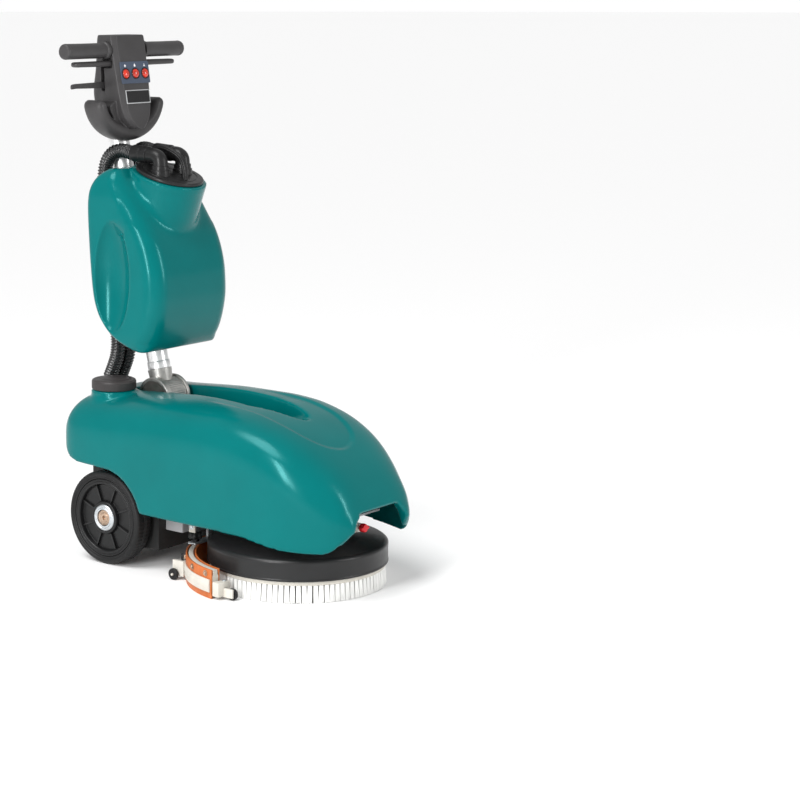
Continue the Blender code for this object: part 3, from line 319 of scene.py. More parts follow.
def make_materials():
    m = {}
    # The teal's paler edges are painted highlights along its ridges and corners.
    m["teal"] = surface("teal_moulding", (0.0, 0.127, 0.127), 0.20, mottle=0.05, mottle_scale=9.0,
                        grain=0.00004, grain_scale=260.0, vary=0.03, pale_edges=0.15, pale_edge_colour=(0.02, 0.36, 0.35),
                        gloss=0.30, sheen_tint=(0.35, 1.0, 1.0))
    # The black's paler edges are painted highlights on its ribs and rims.
    m["black"] = surface("black_moulding", (0.0130, 0.0130, 0.0134), 0.32, mottle=0.20, pale_edges=0.25,
                         pale_edge_colour=(0.05, 0.05, 0.05), grain=0.00014, grain_scale=700.0, gloss=0.30)
    # The deck's paler edges are a painted highlight along its rim.
    m["deck"] = surface("deck_moulding", (0.0140, 0.0140, 0.0145), 0.34, mottle=0.10, mottle_scale=24.0,
                        grain=0.00004, grain_scale=300.0, vary=0.03, pale_edges=0.25, pale_edge_colour=(0.06, 0.06, 0.06),
                        gloss=0.35)
    m["dark"] = surface("dark_grey_moulding", (0.047, 0.045, 0.046), 0.40, mottle=0.12,
                        grain=0.00022, grain_scale=750.0, pale_edges=0.30, pale_edge_colour=(0.10, 0.10, 0.105), gloss=0.30)
    m["cap"] = surface("filler_cap_moulding", (0.040, 0.036, 0.036), 0.40, mottle=0.12,
                       grain=0.00020, grain_scale=800.0, pale_edges=0.25, pale_edge_colour=(0.10, 0.10, 0.10), gloss=0.30)
    # The tyre's paler edges are painted highlights along its rings.
    m["tyre"] = surface("tyre_rubber_skin", (0.0085, 0.0085, 0.0088), 0.50, mottle=0.25,
                        mottle_scale=30.0, grain=0.00030, grain_scale=600.0, pale_edges=0.5,
                        pale_edge_colour=(0.06, 0.058, 0.056), gloss=0.30)
    # The rim's paler edges are painted highlights on its rings and ribs.
    m["rim"] = surface("rim_moulding", (0.0060, 0.0060, 0.0064), 0.34, mottle=0.2, grain=0.0002,
                       grain_scale=500.0, pale_edges=0.5, pale_edge_colour=(0.07, 0.07, 0.07), gloss=0.35)
    m["bristle"] = surface("white_filament", (0.86, 0.86, 0.84), 0.50, mottle=0.10, mottle_scale=220.0,
                           grain=0.0002, grain_scale=60.0, stretch=(1, 1, 0.05), vary=0.1)
    m["gum"] = surface("gum_rubber_skin", (0.50, 0.130, 0.030), 0.45, mottle=0.14, mottle_scale=45.0,
                       grain=0.00015, grain_scale=420.0, pale_edges=0.3, pale_edge_colour=(0.62, 0.30, 0.14))
    m["ivory"] = surface("ivory_moulding", (0.60, 0.57, 0.51), 0.42, mottle=0.07, mottle_scale=40.0,
                         grain=0.00016, grain_scale=520.0, pale_edges=0.2, pale_edge_colour=(0.74, 0.72, 0.68))
    m["alloy"] = surface("cast_alloy_skin", (0.46, 0.45, 0.43), 0.42, 0.85, mottle=0.16,
                         mottle_scale=90.0, grain=0.00035, grain_scale=420.0, vary=0.08, pale_edges=0.4,
                         pale_edge_colour=(0.72, 0.72, 0.71), gloss=0.5)
    m["alloy_dark"] = surface("machined_face", (0.20, 0.185, 0.17), 0.38, 0.8, mottle=0.2,
                              mottle_scale=60.0, grain=0.0001, grain_scale=300.0, vary=0.08, gloss=0.5)
    m["silver"] = surface("brushed_tube", (0.86, 0.86, 0.86), 0.34, 0.80, mottle=0.05,
                          mottle_scale=60.0, grain=0.00008, grain_scale=500.0, stretch=(1, 1, 0.04),
                          gloss=0.5)
    m["zinc"] = surface("zinc_plate", (0.62, 0.65, 0.67), 0.34, 0.9, mottle=0.12, mottle_scale=70.0,
                        grain=0.0001, grain_scale=420.0, pale_edges=0.3, pale_edge_colour=(0.8, 0.8, 0.8), gloss=0.5)
    m["bronze"] = surface("bronze_plate", (0.52, 0.38, 0.28), 0.34, 0.9, mottle=0.18,
                          mottle_scale=80.0, grain=0.0001, grain_scale=350.0, pale_edges=0.3,
                          pale_edge_colour=(0.75, 0.62, 0.5), gloss=0.5)
    m["steel"] = surface("black_enamel", (0.010, 0.010, 0.010), 0.45, 0.1, mottle=0.2, grain=0.0002,
                         grain_scale=380.0, pale_edges=0.3, pale_edge_colour=(0.06, 0.06, 0.06))
    m["grey"] = surface("grey_enamel", (0.40, 0.405, 0.415), 0.42, 0.1, mottle=0.08, grain=0.0002,
                        grain_scale=420.0, pale_edges=0.3, pale_edge_colour=(0.5, 0.5, 0.5))
    m["panel"] = surface("blue_grey_film", (0.060, 0.078, 0.115), 0.40, mottle=0.06, grain=0.00008,
                         grain_scale=1300.0)
    m["mark"] = surface("white_print", (0.82, 0.82, 0.84), 0.45, mottle=0.05, grain=0.00003,
                        grain_scale=900.0)
    m["lens"] = surface("glowing_lens", (0.42, 0.020, 0.006), 0.14, mottle=0.55, mottle_scale=160.0,
                        grain=0.00005, grain_scale=500.0, coat=0.4, glow=0.35, gloss=0.5)
    m["red"] = surface("red_moulding", (0.58, 0.010, 0.018), 0.32, mottle=0.10, grain=0.0001,
                       grain_scale=500.0, pale_edges=0.2, pale_edge_colour=(0.8, 0.2, 0.2))
    # The hose's pale ridges are painted glints on its corrugations.
    m["hose"] = surface("hose_skin", (0.0090, 0.0090, 0.0094), 0.20, mottle=0.25, mottle_scale=70.0,
                        grain=0.00004, grain_scale=700.0, pale_edges=0.85, pale_edge_colour=(0.17, 0.17, 0.175), gloss=0.9)
    m["motor"] = surface("motor_can", (0.30, 0.30, 0.31), 0.42, 0.6, mottle=0.12, grain=0.0002,
                         grain_scale=300.0, pale_edges=0.3, pale_edge_colour=(0.55, 0.55, 0.55))
    m["cell"] = surface("battery_shell", (0.045, 0.045, 0.055), 0.48, mottle=0.15, grain=0.0002,
                        grain_scale=500.0)
    m["frame"] = surface("bright_frame", (0.55, 0.56, 0.57), 0.35, 0.6, mottle=0.08, grain=0.00005,
                         grain_scale=700.0, gloss=0.5)
    return m


# Tools ------------------------------------------------------------------------------------------

def smooth(points, at):
    """The value at one place on a monotone cubic through the points, so nothing overshoots."""
    place, value = np.array(points, float).T
    step = np.diff(place)
    slope = np.diff(value) / step
    tangent = np.concatenate([slope[:1], np.zeros(len(place) - 2), slope[-1:]])
    for i in range(1, len(place) - 1):
        if slope[i - 1] * slope[i] > 0:
            before = 2 * step[i] + step[i - 1]
            after = step[i] + 2 * step[i - 1]
            tangent[i] = (before + after) / (before / slope[i - 1] + after / slope[i])
    i = int(np.clip(np.searchsorted(place, at) - 1, 0, len(place) - 2))
    t = min(max((at - place[i]) / step[i], 0.0), 1.0)
    return float((1 + 2 * t) * (1 - t) ** 2 * value[i] + t * (1 - t) ** 2 * step[i] * tangent[i]
                 + t * t * (3 - 2 * t) * value[i + 1] + t * t * (t - 1) * step[i] * tangent[i + 1])


def gentle(points, at, reach=0.014):
    """The smooth curve averaged over a short stretch, which evens out its curvature."""
    room = max(0.0, min(reach, at - points[0][0], points[-1][0] - at))
    return sum(smooth(points, at + room * i / 4) for i in range(-4, 5)) / 9


def ease(t):
    t = np.clip(t, 0.0, 1.0)
    return t * t * (3 - 2 * t)


def lean(distance):
    """The point that lies a distance up the column from its hinge."""
    angle = math.radians(COLUMN_LEAN)
    return HINGE + distance * Vector((0.0, math.sin(angle), math.cos(angle)))


def up_column(z):
    """How far up the column a height lies."""
    return (z - HINGE.z) / math.cos(math.radians(COLUMN_LEAN))


def column_y(z):
    return HINGE.y + (z - HINGE.z) * math.tan(math.radians(COLUMN_LEAN))


def face_y(z):
    return FACE_POINT.y + (z - FACE_POINT.z) * math.tan(math.radians(FACE_LEAN))


def dress(obj, material, sharp):
    """Smooth shading except along edges sharper than the angle, and one material."""
    obj.data.materials.clear()
    obj.data.materials.append(LOOKS[material])
    obj.data.shade_smooth()
    obj.data.set_sharp_from_angle(angle=math.radians(sharp))


def thing(name, mesh, at=(0, 0, 0), rotation=(0, 0, 0)):
    """An object of a bmesh, with its place worked into its vertices."""
    turn = Matrix.LocRotScale(Vector(at), Matrix.Identity(3), None)
    for axis, angle in zip("XYZ", rotation):
        turn = turn @ Matrix.Rotation(math.radians(angle), 4, axis)
    mesh.transform(turn)
    data = bpy.data.meshes.new(name)
    mesh.to_mesh(data)
    mesh.free()
    obj = bpy.data.objects.new(name, data)
    bpy.context.scene.collection.objects.link(obj)
    return obj


def apply_modifiers(obj):
    graph = bpy.context.evaluated_depsgraph_get()
    data = bpy.data.meshes.new_from_object(obj.evaluated_get(graph))
    old = obj.data
    obj.modifiers.clear()
    obj.data = data
    bpy.data.meshes.remove(old)


def merge_in(obj, other, operation="UNION"):
    """Unite another object with this one, or cut this one with it, and remove it."""
    union = obj.modifiers.new("join", "BOOLEAN")
    union.operation = operation
    union.solver = "EXACT"
    union.object = other
    apply_modifiers(obj)
    bpy.data.objects.remove(other, do_unlink=True)


def cut(obj, mesh, at=(0, 0, 0), rotation=(0, 0, 0)):
    merge_in(obj, thing("tool", mesh, at, rotation), "DIFFERENCE")


def add(obj, mesh, at=(0, 0, 0), rotation=(0, 0, 0)):
    merge_in(obj, thing("tool", mesh, at, rotation))


def melt(obj, voxel, passes):
    """Remesh and smooth, so that edges and joins become soft moulded fillets."""
    net = obj.modifiers.new("net", "REMESH")
    net.mode = "VOXEL"
    net.voxel_size = voxel
    calm = obj.modifiers.new("calm", "SMOOTH")
    calm.factor = 0.5
    calm.iterations = passes
    apply_modifiers(obj)


def with_mesh(obj, work):
    """Work on an object's mesh as a bmesh."""
    mesh = bmesh.new()
    mesh.from_mesh(obj.data)
    work(mesh)
    mesh.to_mesh(obj.data)
    mesh.free()


def soften_edges(obj, width, segments=3, angle=35):
    bevel = obj.modifiers.new("round", "BEVEL")
    bevel.width = width
    bevel.segments = segments
    bevel.limit_method = "ANGLE"
    bevel.angle_limit = math.radians(angle)
    bevel.harden_normals = False
    apply_modifiers(obj)


def soft_block(name, low, high, width, segments=3):
    obj = thing(name, block(low, high))
    soften_edges(obj, width, segments)
    return obj


def finish(obj, body, material, slot, *replaced, sharp=40):
    """Give the piece its material, its body and the nodes it stands for; slot is not used."""
    dress(obj, material, sharp)
    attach(obj, body)
    if replaced:
        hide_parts(*replaced)


def skin_loops(mesh, rings):
    """Faces between rings of the same number of points, and over the first and the last."""
    loops = [[mesh.verts.new(point) for point in ring] for ring in rings]
    for near, far in zip(loops, loops[1:]):
        for i in range(len(near)):
            j = (i + 1) % len(near)
            mesh.faces.new((near[i], near[j], far[j], far[i]))
    mesh.faces.new(loops[0])
    mesh.faces.new(loops[-1])


def loft(rings):
    mesh = bmesh.new()
    skin_loops(mesh, rings)
    bmesh.ops.recalc_face_normals(mesh, faces=mesh.faces)
    return mesh


def slab(outline, start, end):
    """A prism along Y over an outline of (x, z) points."""
    return loft([[(x, y, z) for x, z in outline] for y in (start, end)])


def block(corner, opposite):
    """A box between two opposite corners, given in any order."""
    low = [min(pair) for pair in zip(corner, opposite)]
    high = [max(pair) for pair in zip(corner, opposite)]
    mesh = bmesh.new()
    bmesh.ops.create_cube(mesh, size=1.0)
    low, high = Vector(low), Vector(high)
    bmesh.ops.scale(mesh, vec=high - low, verts=mesh.verts)
    bmesh.ops.translate(mesh, vec=(low + high) / 2, verts=mesh.verts)
    return mesh


def turn_to(direction):
    """The turn that takes +Z to a direction."""
    return Vector((0, 0, 1)).rotation_difference(Vector(direction).normalized()).to_matrix().to_4x4()


def rod(radius, start, end, sides=32, end_radius=None):
    start, end = Vector(start), Vector(end)
    along = end - start
    mesh = bmesh.new()
    bmesh.ops.create_cone(mesh, cap_ends=True, segments=sides, radius1=radius,
                          radius2=radius if end_radius is None else end_radius, depth=along.length)
    mesh.transform(Matrix.Translation((start + end) / 2) @ turn_to(along))
    return mesh


def egg(centre, half_sizes, rings=24, sides=40):
    mesh = bmesh.new()
    bmesh.ops.create_uvsphere(mesh, u_segments=sides, v_segments=rings, radius=1.0)
    bmesh.ops.scale(mesh, vec=half_sizes, verts=mesh.verts)
    bmesh.ops.translate(mesh, vec=centre, verts=mesh.verts)
    return mesh


def mirrored(right):
    """An outline from its right half, given as (x, z) points."""
    return right + [(-x, z) for x, z in reversed(right)]


def rounded(points, radius, closed=True, steps=3):
    """The outline with each corner replaced by a small arc."""
    points = [Vector(p) for p in points]
    count = len(points)
    made = []
    for i, corner in enumerate(points):
        if not closed and i in (0, count - 1):
            made.append(corner)
            continue
        before, after = points[i - 1] - corner, points[(i + 1) % count] - corner
        cut = min(radius, 0.45 * before.length, 0.45 * after.length)
        first, last = corner + cut * before.normalized(), corner + cut * after.normalized()
        for k in range(steps + 1):
            t = k / steps
            made.append((1 - t) ** 2 * first + 2 * t * (1 - t) * corner + t * t * last)
    return made


def ripples(count, depth, inside, place=lambda z: True):
    """For lathe: count even waves this deep, where the radius passes inside and the height suits place."""
    return lambda angle, r, z: -depth * (1 + math.cos(count * angle)) / 2 if r > inside and place(z) else 0.0


def lathe(profile, steps=72, closed=False, radius=0.0, ripple=None):
    """A turned mesh: (radius, height) points round its section, spun about Z.

    A closed section makes a ring. radius rounds its corners, and ripple adds waves round the axis.
    """
    profile = rounded(profile, radius, closed, 4) if radius else [Vector(p) for p in profile]
    mesh = bmesh.new()
    rows = []
    for r, z in profile:
        if r < 1e-6:
            rows.append([mesh.verts.new((0, 0, z))])
            continue
        row = []
        for i in range(steps):
            angle = 2 * math.pi * i / steps
            reach = r + (ripple(angle, r, z) if ripple else 0.0)
            row.append(mesh.verts.new((reach * math.cos(angle), reach * math.sin(angle), z)))
        rows.append(row)
    pairs = list(zip(rows, rows[1:])) + ([(rows[-1], rows[0])] if closed else [])
    for upper, lower in pairs:
        for i in range(steps):
            j = (i + 1) % steps
            corners = [upper[i % len(upper)], lower[i % len(lower)], lower[j % len(lower)],
                       upper[j % len(upper)]]
            corners = list(dict.fromkeys(corners))
            if len(corners) > 2:
                mesh.faces.new(corners)
    bmesh.ops.recalc_face_normals(mesh, faces=mesh.faces)
    return mesh


def through(points, count):
    """Evenly spread points on a smooth curve through the given ones."""
    points = [Vector(point) for point in points]
    ends = [2 * points[0] - points[1]] + points + [2 * points[-1] - points[-2]]
    fine = []
    for a, b, c, d in zip(ends, ends[1:], ends[2:], ends[3:]):
        for i in range(20):
            t = i / 20
            fine.append(0.5 * (2 * b + (c - a) * t + (2 * a - 5 * b + 4 * c - d) * t * t
                               + (3 * b - a - 3 * c + d) * t ** 3))
    fine.append(points[-1])
    run = np.concatenate([[0.0], np.cumsum([(b - a).length for a, b in zip(fine, fine[1:])])])
    places = np.linspace(0.0, run[-1], count)
    return [Vector([float(np.interp(s, run, [p[i] for p in fine])) for i in range(3)]) for s in places]


def sweep(route, section, up=(1, 0, 0)):
    """A skin along a route. section(i, share) gives the (across, up) points at one place on it."""
    side = Vector(up)
    rings = []
    for i, point in enumerate(route):
        along = (route[min(i + 1, len(route) - 1)] - route[max(i - 1, 0)]).normalized()
        side = (side - side.dot(along) * along).normalized()
        rise = along.cross(side)
        rings.append([point + a * side + b * rise for a, b in section(i, i / (len(route) - 1))])
    return loft(rings)


def circle(radius, sides=24):
    return [(radius * math.cos(2 * math.pi * i / sides), radius * math.sin(2 * math.pi * i / sides))
            for i in range(sides)]


def joined(name, meshes):
    """Several separate closed shapes as one object."""
    whole = bmesh.new()
    for mesh in meshes:
        data = bpy.data.meshes.new("shape")
        mesh.to_mesh(data)
        mesh.free()
        whole.from_mesh(data)
        bpy.data.meshes.remove(data)
    return thing(name, whole)


# Solution tank body -----------------------------------------------------------------------------

def body_bottom(y):
    if y >= WHEEL_Y:
        return gentle(TAIL_BOTTOM, y)
    arch = 0.0
    if y > WHEEL_Y - ARCH_RADIUS:
        arch = WHEEL_RADIUS + math.sqrt(ARCH_RADIUS ** 2 - (y - WHEEL_Y) ** 2)
    return max(gentle(BODY_BOTTOM, y), arch)


def body_ring(y, inset=0.0, low=None, high=None, fullness=4.0, arc_points=22):
    """A cross-section: straight sides, rounded shoulders and a nearly flat top."""
    half = gentle(BODY_SIDE, y) - inset
    top = gentle(BODY_TOP, y) - inset
    bottom = body_bottom(y)
    rise = min(SHOULDER_HEIGHT, 0.92 * (top + inset - bottom))
    if low is not None:
        bottom = low
    right = []
    for i in range(arc_points + 1):
        turn = math.radians(90.0 * i / arc_points)
        right.append((half * math.cos(turn) ** (2 / fullness),
                      top - rise + rise * math.sin(turn) ** (2 / fullness)))
    outline = [(half, bottom)] + right
    outline += [(-x, z) for x, z in reversed(right[:-1])] + [(-half, bottom)]
    if high is not None:
        outline = [(x, min(z, high)) for x, z in outline]
    return [(x, y, z) for x, z in outline]


def stations(start, end, count):
    """Places from start to end that crowd towards both ends."""
    return [(start + end) / 2 - (end - start) / 2 * math.cos(math.pi * i / (count - 1))
            for i in range(count)]


def recess_ring(y):
    """The groove that the column folds into, at one place along it."""
    half = gentle(RECESS_SIDE, y)
    floor = gentle(RECESS_FLOOR, y)
    corner = min(0.012, 0.5 * half, 0.5 * (0.370 - floor))
    arc = [(half - corner + corner * math.cos(a), floor + corner - corner * math.sin(a))
           for a in np.radians(np.linspace(0, 90, 6))]
    right = [(half + RECESS_DRAFT * (0.450 - floor), 0.450)] + arc
    return [(x, y, z) for x, z in mirrored(right)]


def press_pocket(obj):
    """Lower the area round the folding channel's front by a few millimetres, with a soft rim."""
    ys = np.linspace(POCKET_SIDE[0][0], POCKET_SIDE[-1][0], 900)
    half = np.array([gentle(POCKET_SIDE, y, 0.006) for y in ys])
    half[0] = 0.0
    run = np.concatenate([[0.0], np.cumsum(np.hypot(np.diff(half), np.diff(ys)))])
    even = np.arange(0.0, run[-1], 0.0006)
    rim = np.column_stack([np.interp(even, run, half), np.interp(even, run, ys)])
    for vertex in obj.data.vertices:
        x, y, z = vertex.co
        if z < 0.24 or not ys[0] < y < 0.04 or abs(x) > np.interp(y, ys, half):
            continue
        distance = float(np.min(np.hypot(rim[:, 0] - abs(x), rim[:, 1] - y)))
        depth = POCKET_DEPTH * float(ease(distance / POCKET_RIM)) * float(ease((0.03 - y) / 0.11))
        slope = (gentle(BODY_TOP, y + 0.002) - gentle(BODY_TOP, y - 0.002)) / 0.004
        vertex.co = vertex.co - depth * Vector((0.0, -slope, 1.0)).normalized()


def make_body():
    body = thing("solution_tank_moulding", loft([body_ring(y) for y in stations(NOSE_Y, TAIL_Y, 120)]))
    collar = lathe([(0, 0.0), (0.0440, 0.0), (0.0485, -0.0012), (0.0490, -0.0045), (0.0478, -0.0070),
                    (0.0484, -0.0120), (0.0510, -0.0200), (0.0560, -0.0290), (0.0600, -0.0450),
                    (0, -0.0450)], 64)
    add(body, collar, CAP_CENTRE)
    for x, y in PORT_PLACES.values():
        add(body, rod(0.0180, (x, y, 0.318), (x, y, PORT_TOP - GAP), 32, 0.0168))
    cut(body, loft([recess_ring(y) for y in stations(-0.1855, 0.262, 40)]))
    bay = [y for y in stations(NOSE_Y, TAIL_Y, 50) if -0.350 < y < 0.108] + [0.1125]
    cut(body, loft([body_ring(y, 0.010, low=0.02, high=BAY_TOP, arc_points=8) for y in bay]))
    cut(body, block((-0.1185, 0.110, 0.02), (0.1185, 0.3165, 0.2065)))
    cut(body, rod(0.040, (0, MOTOR_Y, 0.19), (0, MOTOR_Y, 0.301), 40))
    cut(body, slab(mirrored(NOTCH_SIDE), -0.420, -0.320))
    melt(body, 0.0036, 7)
    press_pocket(body)
    cut(body, rod(0.040, (CAP_CENTRE.x, CAP_CENTRE.y, 0.250),
                  (CAP_CENTRE.x, CAP_CENTRE.y, 0.400), 48))
    for x, y in PORT_PLACES.values():
        cut(body, rod(0.0120, (x, y, 0.330), (x, y, PORT_TOP + 0.01), 24))
    finish(body, "base", "teal", "teal_plastic", "solution_tank_body", sharp=60)


def make_filler_cap():
    """A screw cap: fine grip ribs round the side, a shallow cone and a ring groove on the top."""
    grip = ripples(120, 0.0005, CAP_RADIUS - 0.0015, lambda z: 0.0012 < z < 0.0160)
    cap = lathe([(0, 0.0243), (0.018, 0.0240), (0.030, 0.0226), (0.0312, 0.0219), (0.0324, 0.0224),
                 (0.0432, 0.0208), (0.0462, 0.0192), (CAP_RADIUS, 0.0165), (CAP_RADIUS, 0.0155),
                 (CAP_RADIUS, 0.0022), (0.0466, 0.0006), (0.0460, GAP), (0.0385, GAP),
                 (0.0380, -0.0100), (0.0350, -0.0118), (0.0, -0.0118)], 480, ripple=grip)
    finish(thing("filler_cap_moulding", cap, CAP_CENTRE), "filler_cap", "cap", "dark_grey_plastic",
           "filler_cap")


# Brush ------------------------------------------------------------------------------------------

def make_deck():
    profile = [(0.0360, 0.1160), (0.0600, 0.1145), (0.0850, 0.1050), (0.1250, 0.0950), (0.1800, 0.0900),
               (0.1868, 0.0850), (DECK_RADIUS, 0.0760), (DECK_RADIUS, 0.0500),
               (DECK_RADIUS + 0.0008, 0.0490), (DECK_RADIUS + 0.0008, DECK_LOW),
               (DECK_RADIUS - 0.0030, DECK_LOW), (DECK_RADIUS - 0.0030, 0.0750), (0.1790, 0.0865),
               (0.0850, 0.1017), (0.0360, 0.1128)]
    deck = thing("brush_deck_moulding", lathe(profile, 160, True, 0.004), (0, BRUSH_Y, 0))
    finish(deck, "base", "deck", "black_plastic", "brush_deck", sharp=50)


def tuft(rng, radius, angle):
    """A flat bundle of filaments that splays a little towards the floor."""
    mesh = bmesh.new()
    out = Vector((math.cos(angle), math.sin(angle), 0))
    across = Vector((-out.y, out.x, 0))
    root = Vector((0, BRUSH_Y, TUFT_TOP)) + radius * out
    lean_by = rng.uniform(-0.0014, 0.0014)
    for row in (-1, 0, 1):
        for column in (-2, -1, 0, 1, 2):
            a = column * FILAMENT_PITCH + rng.uniform(-0.0002, 0.0002)
            b = row * 0.0016 + rng.uniform(-0.0003, 0.0003)
            start = root + a * across + b * out
            tilt = lean_by * (radius / BRUSH_RADIUS) * across
            end = start + 0.30 * a * across + tilt - Vector((0, 0, TUFT_TOP - rng.uniform(0.0002, 0.0016)))
            end += out * (0.0028 * (radius / BRUSH_RADIUS) ** 6 + 0.15 * b)
            middle = (start + end) / 2 - out * 0.0006
            skin_loops(mesh, [[p + FILAMENT_RADIUS * k * (math.cos(t) * across + math.sin(t) * out)
                               for t in np.linspace(0, 2 * math.pi, 5, endpoint=False)]
                              for p, k in ((start, 1.0), (middle, 1.0), (end, 0.8))])
    return mesh


def make_brush():
    rng = random.Random(7)
    tufts = []
    for radius, count in TUFT_RINGS:
        for i in range(count):
            tufts.append(tuft(rng, radius, 2 * math.pi * (i + 0.5 * (count % 5)) / count))
    bristles = joined("brush_tufts", tufts)
    with_mesh(bristles, lambda mesh: bmesh.ops.recalc_face_normals(mesh, faces=mesh.faces))
    finish(bristles, "brush", "bristle", "white_bristle", "brush_bristles", sharp=50)

    plate = lathe([(0.0, 0.1020), (0.024, 0.1020), (0.026, 0.0600), (0.060, 0.0520), (0.176, 0.0500),
                   (0.1815, 0.0470), (0.1818, 0.0365), (0.1780, TUFT_TOP), (0.0, TUFT_TOP)],
                  128, False, 0.0015)
    finish(thing("brush_block", plate, (0, BRUSH_Y, 0)), "brush", "ivory", "ivory_plastic", "brush_plate")


# Wheels -----------------------------------------------------------------------------------------

def on_axle(name, mesh, side, body, material, slot, *replaced, sharp=40):
    """Place a piece turned about Z on the wheel's axle, outer face outwards."""
    obj = thing(name, mesh, (0, WHEEL_Y, WHEEL_RADIUS), (0, 90 * side, 0))
    finish(obj, body, material, slot, *replaced, sharp=sharp)


def make_wheel(side, name):
    """Tyre, rim with eight ribs, bearing and axle end, turned about Z at their places along the axle."""
    body = "wheel_" + name

    def grooves(angle, r, z):
        return -0.0009 * float(ease(6 * (0.5 + 0.5 * math.cos(72 * angle)) - 4.6)) if r > 0.0985 else 0.0
    tyre = lathe([(0.0835, 0.1655), (0.0862, 0.1672), (0.0880, 0.1664), (0.0905, 0.1686), (0.0935, 0.1688),
                  (0.0965, 0.1674), (0.0992, 0.1640), (WHEEL_RADIUS, 0.1600), (WHEEL_RADIUS, 0.1500),
                  (0.0990, 0.1492), (0.0990, 0.1478), (WHEEL_RADIUS, 0.1470), (WHEEL_RADIUS, 0.1460),
                  (0.0990, 0.1452), (0.0990, 0.1438), (WHEEL_RADIUS, 0.1430),
                  (WHEEL_RADIUS, 0.1330), (0.0992, 0.1290), (0.0965, 0.1256), (0.0935, 0.1242),
                  (0.0905, 0.1244), (0.0880, 0.1266), (0.0862, 0.1258), (0.0835, 0.1275)],
                 288, True, 0.0008, grooves)
    on_axle("tyre_skin_" + name, tyre, side, body, "tyre", "tyre_rubber", "tyre_" + name, sharp=60)

    rim = lathe([(0.0285, 0.1665), (0.0335, 0.1665), (0.0350, 0.1645), (0.0362, 0.1562), (0.0690, 0.1556),
                 (0.0712, 0.1640), (0.0730, 0.1662), (0.0768, 0.1662), (0.0776, 0.1652), (0.0786, 0.1652),
                 (0.0794, 0.1660), (0.0827, 0.1655), (0.0827, 0.1275), (0.0700, 0.1275),
                 (0.0680, 0.1440), (0.0360, 0.1440), (0.0340, 0.1290), (0.0285, 0.1290)],
                144, True, 0.0010)
    wheel = thing("rim", rim)
    ribs = []
    for i in range(8):
        rib = block((0.0360, -0.0016, 0.1540), (0.0705, 0.0016, 0.1610))
        rib.transform(Matrix.Rotation(math.radians(45 * i + 22.5), 4, "Z"))
        ribs.append(rib)
    ribbing = joined("ribs", ribs)
    soften_edges(ribbing, 0.0007, 2)
    merge_in(wheel, ribbing)
    mesh = bmesh.new()
    mesh.from_mesh(wheel.data)
    bpy.data.objects.remove(wheel, do_unlink=True)
    on_axle("wheel_hub_" + name, mesh, side, body, "rim", "black_plastic", "wheel_rim_" + name)

    bearing = lathe([(0.0178, 0.1688), (0.0205, 0.1690), (0.0212, 0.1680), (0.0222, 0.1680),
                     (0.0229, 0.1690), (0.0252, 0.1689), (0.0270, 0.1676), (0.0282, 0.1662),
                     (0.0282, 0.1262), (0.0106, 0.1262), (0.0106, 0.1600), (0.0172, 0.1600)],
                    96, True, 0.0005)
    on_axle("hub_ring_" + name, bearing, side, body, "zinc", "zinc_steel", "wheel_bearing_" + name)

    def hexagon(angle, r, z):
        return -0.0011 * (1 - math.cos(6 * angle)) / 2 if z > 0.1651 and 0.005 < r < 0.0105 else 0.0
    bolt = lathe([(0.0, 0.1625), (0.0042, 0.1625), (0.0048, 0.1668), (0.0098, 0.1672), (0.0104, 0.1654),
                  (0.0122, 0.1650), (0.0160, 0.1662), (0.0164, 0.1612), (0.0100, 0.1608),
                  (0.0100, 0.1242), (0.0160, 0.1240), (0.0160, 0.1166), (0.0, 0.1166)],
                 96, False, 0.0005, hexagon)
    on_axle("axle_end_" + name, bolt, side, "base", "bronze", "bronze_bolt", "axle_stub_" + name)


def make_wheels():
    for side, name in SIDES:
        make_wheel(side, name)


# Squeegee ---------------------------------------------------------------------------------------

def arc_ring(degrees, section):
    """(radius, height) points standing across an arc round the brush's centre."""
    angle = math.radians(degrees)
    out = Vector((math.cos(angle), math.sin(angle), 0))
    return [Vector((0, BRUSH_Y, 0)) + out * radius + Vector((0, 0, z)) for radius, z in section]


def arc_bar(section, start, end, pieces=72):
    return loft([arc_ring(start + (end - start) * i / pieces, section) for i in range(pieces + 1)])


def rectangle(inner, outer, low, high, corner=0.0008, steps=3):
    return rounded([(inner, low), (outer, low), (outer, high), (inner, high)], corner, True, steps)


def bolt_head(centre, out, radius=0.0055, height=0.0035):
    """A washer and a hexagon head facing one way."""
    def hexagon(angle, r, z):
        return -0.09 * r * (1 - math.cos(6 * angle)) if r > radius * 0.5 else 0.0
    wide = radius * 1.35
    washer = lathe([(0, 0.0010), (wide, 0.0010), (wide, 0.0), (0, 0.0)], 32, False, 0.0002)
    head = lathe([(0, height), (radius * 0.55, height), (radius * 0.9, height - 0.0006),
                  (radius, height - 0.0012), (radius, 0.0010), (0, 0.0010)], 48, False, 0.0002, hexagon)
    for mesh in (washer, head):
        mesh.transform(Matrix.Translation(centre) @ turn_to(out))
    return [washer, head]


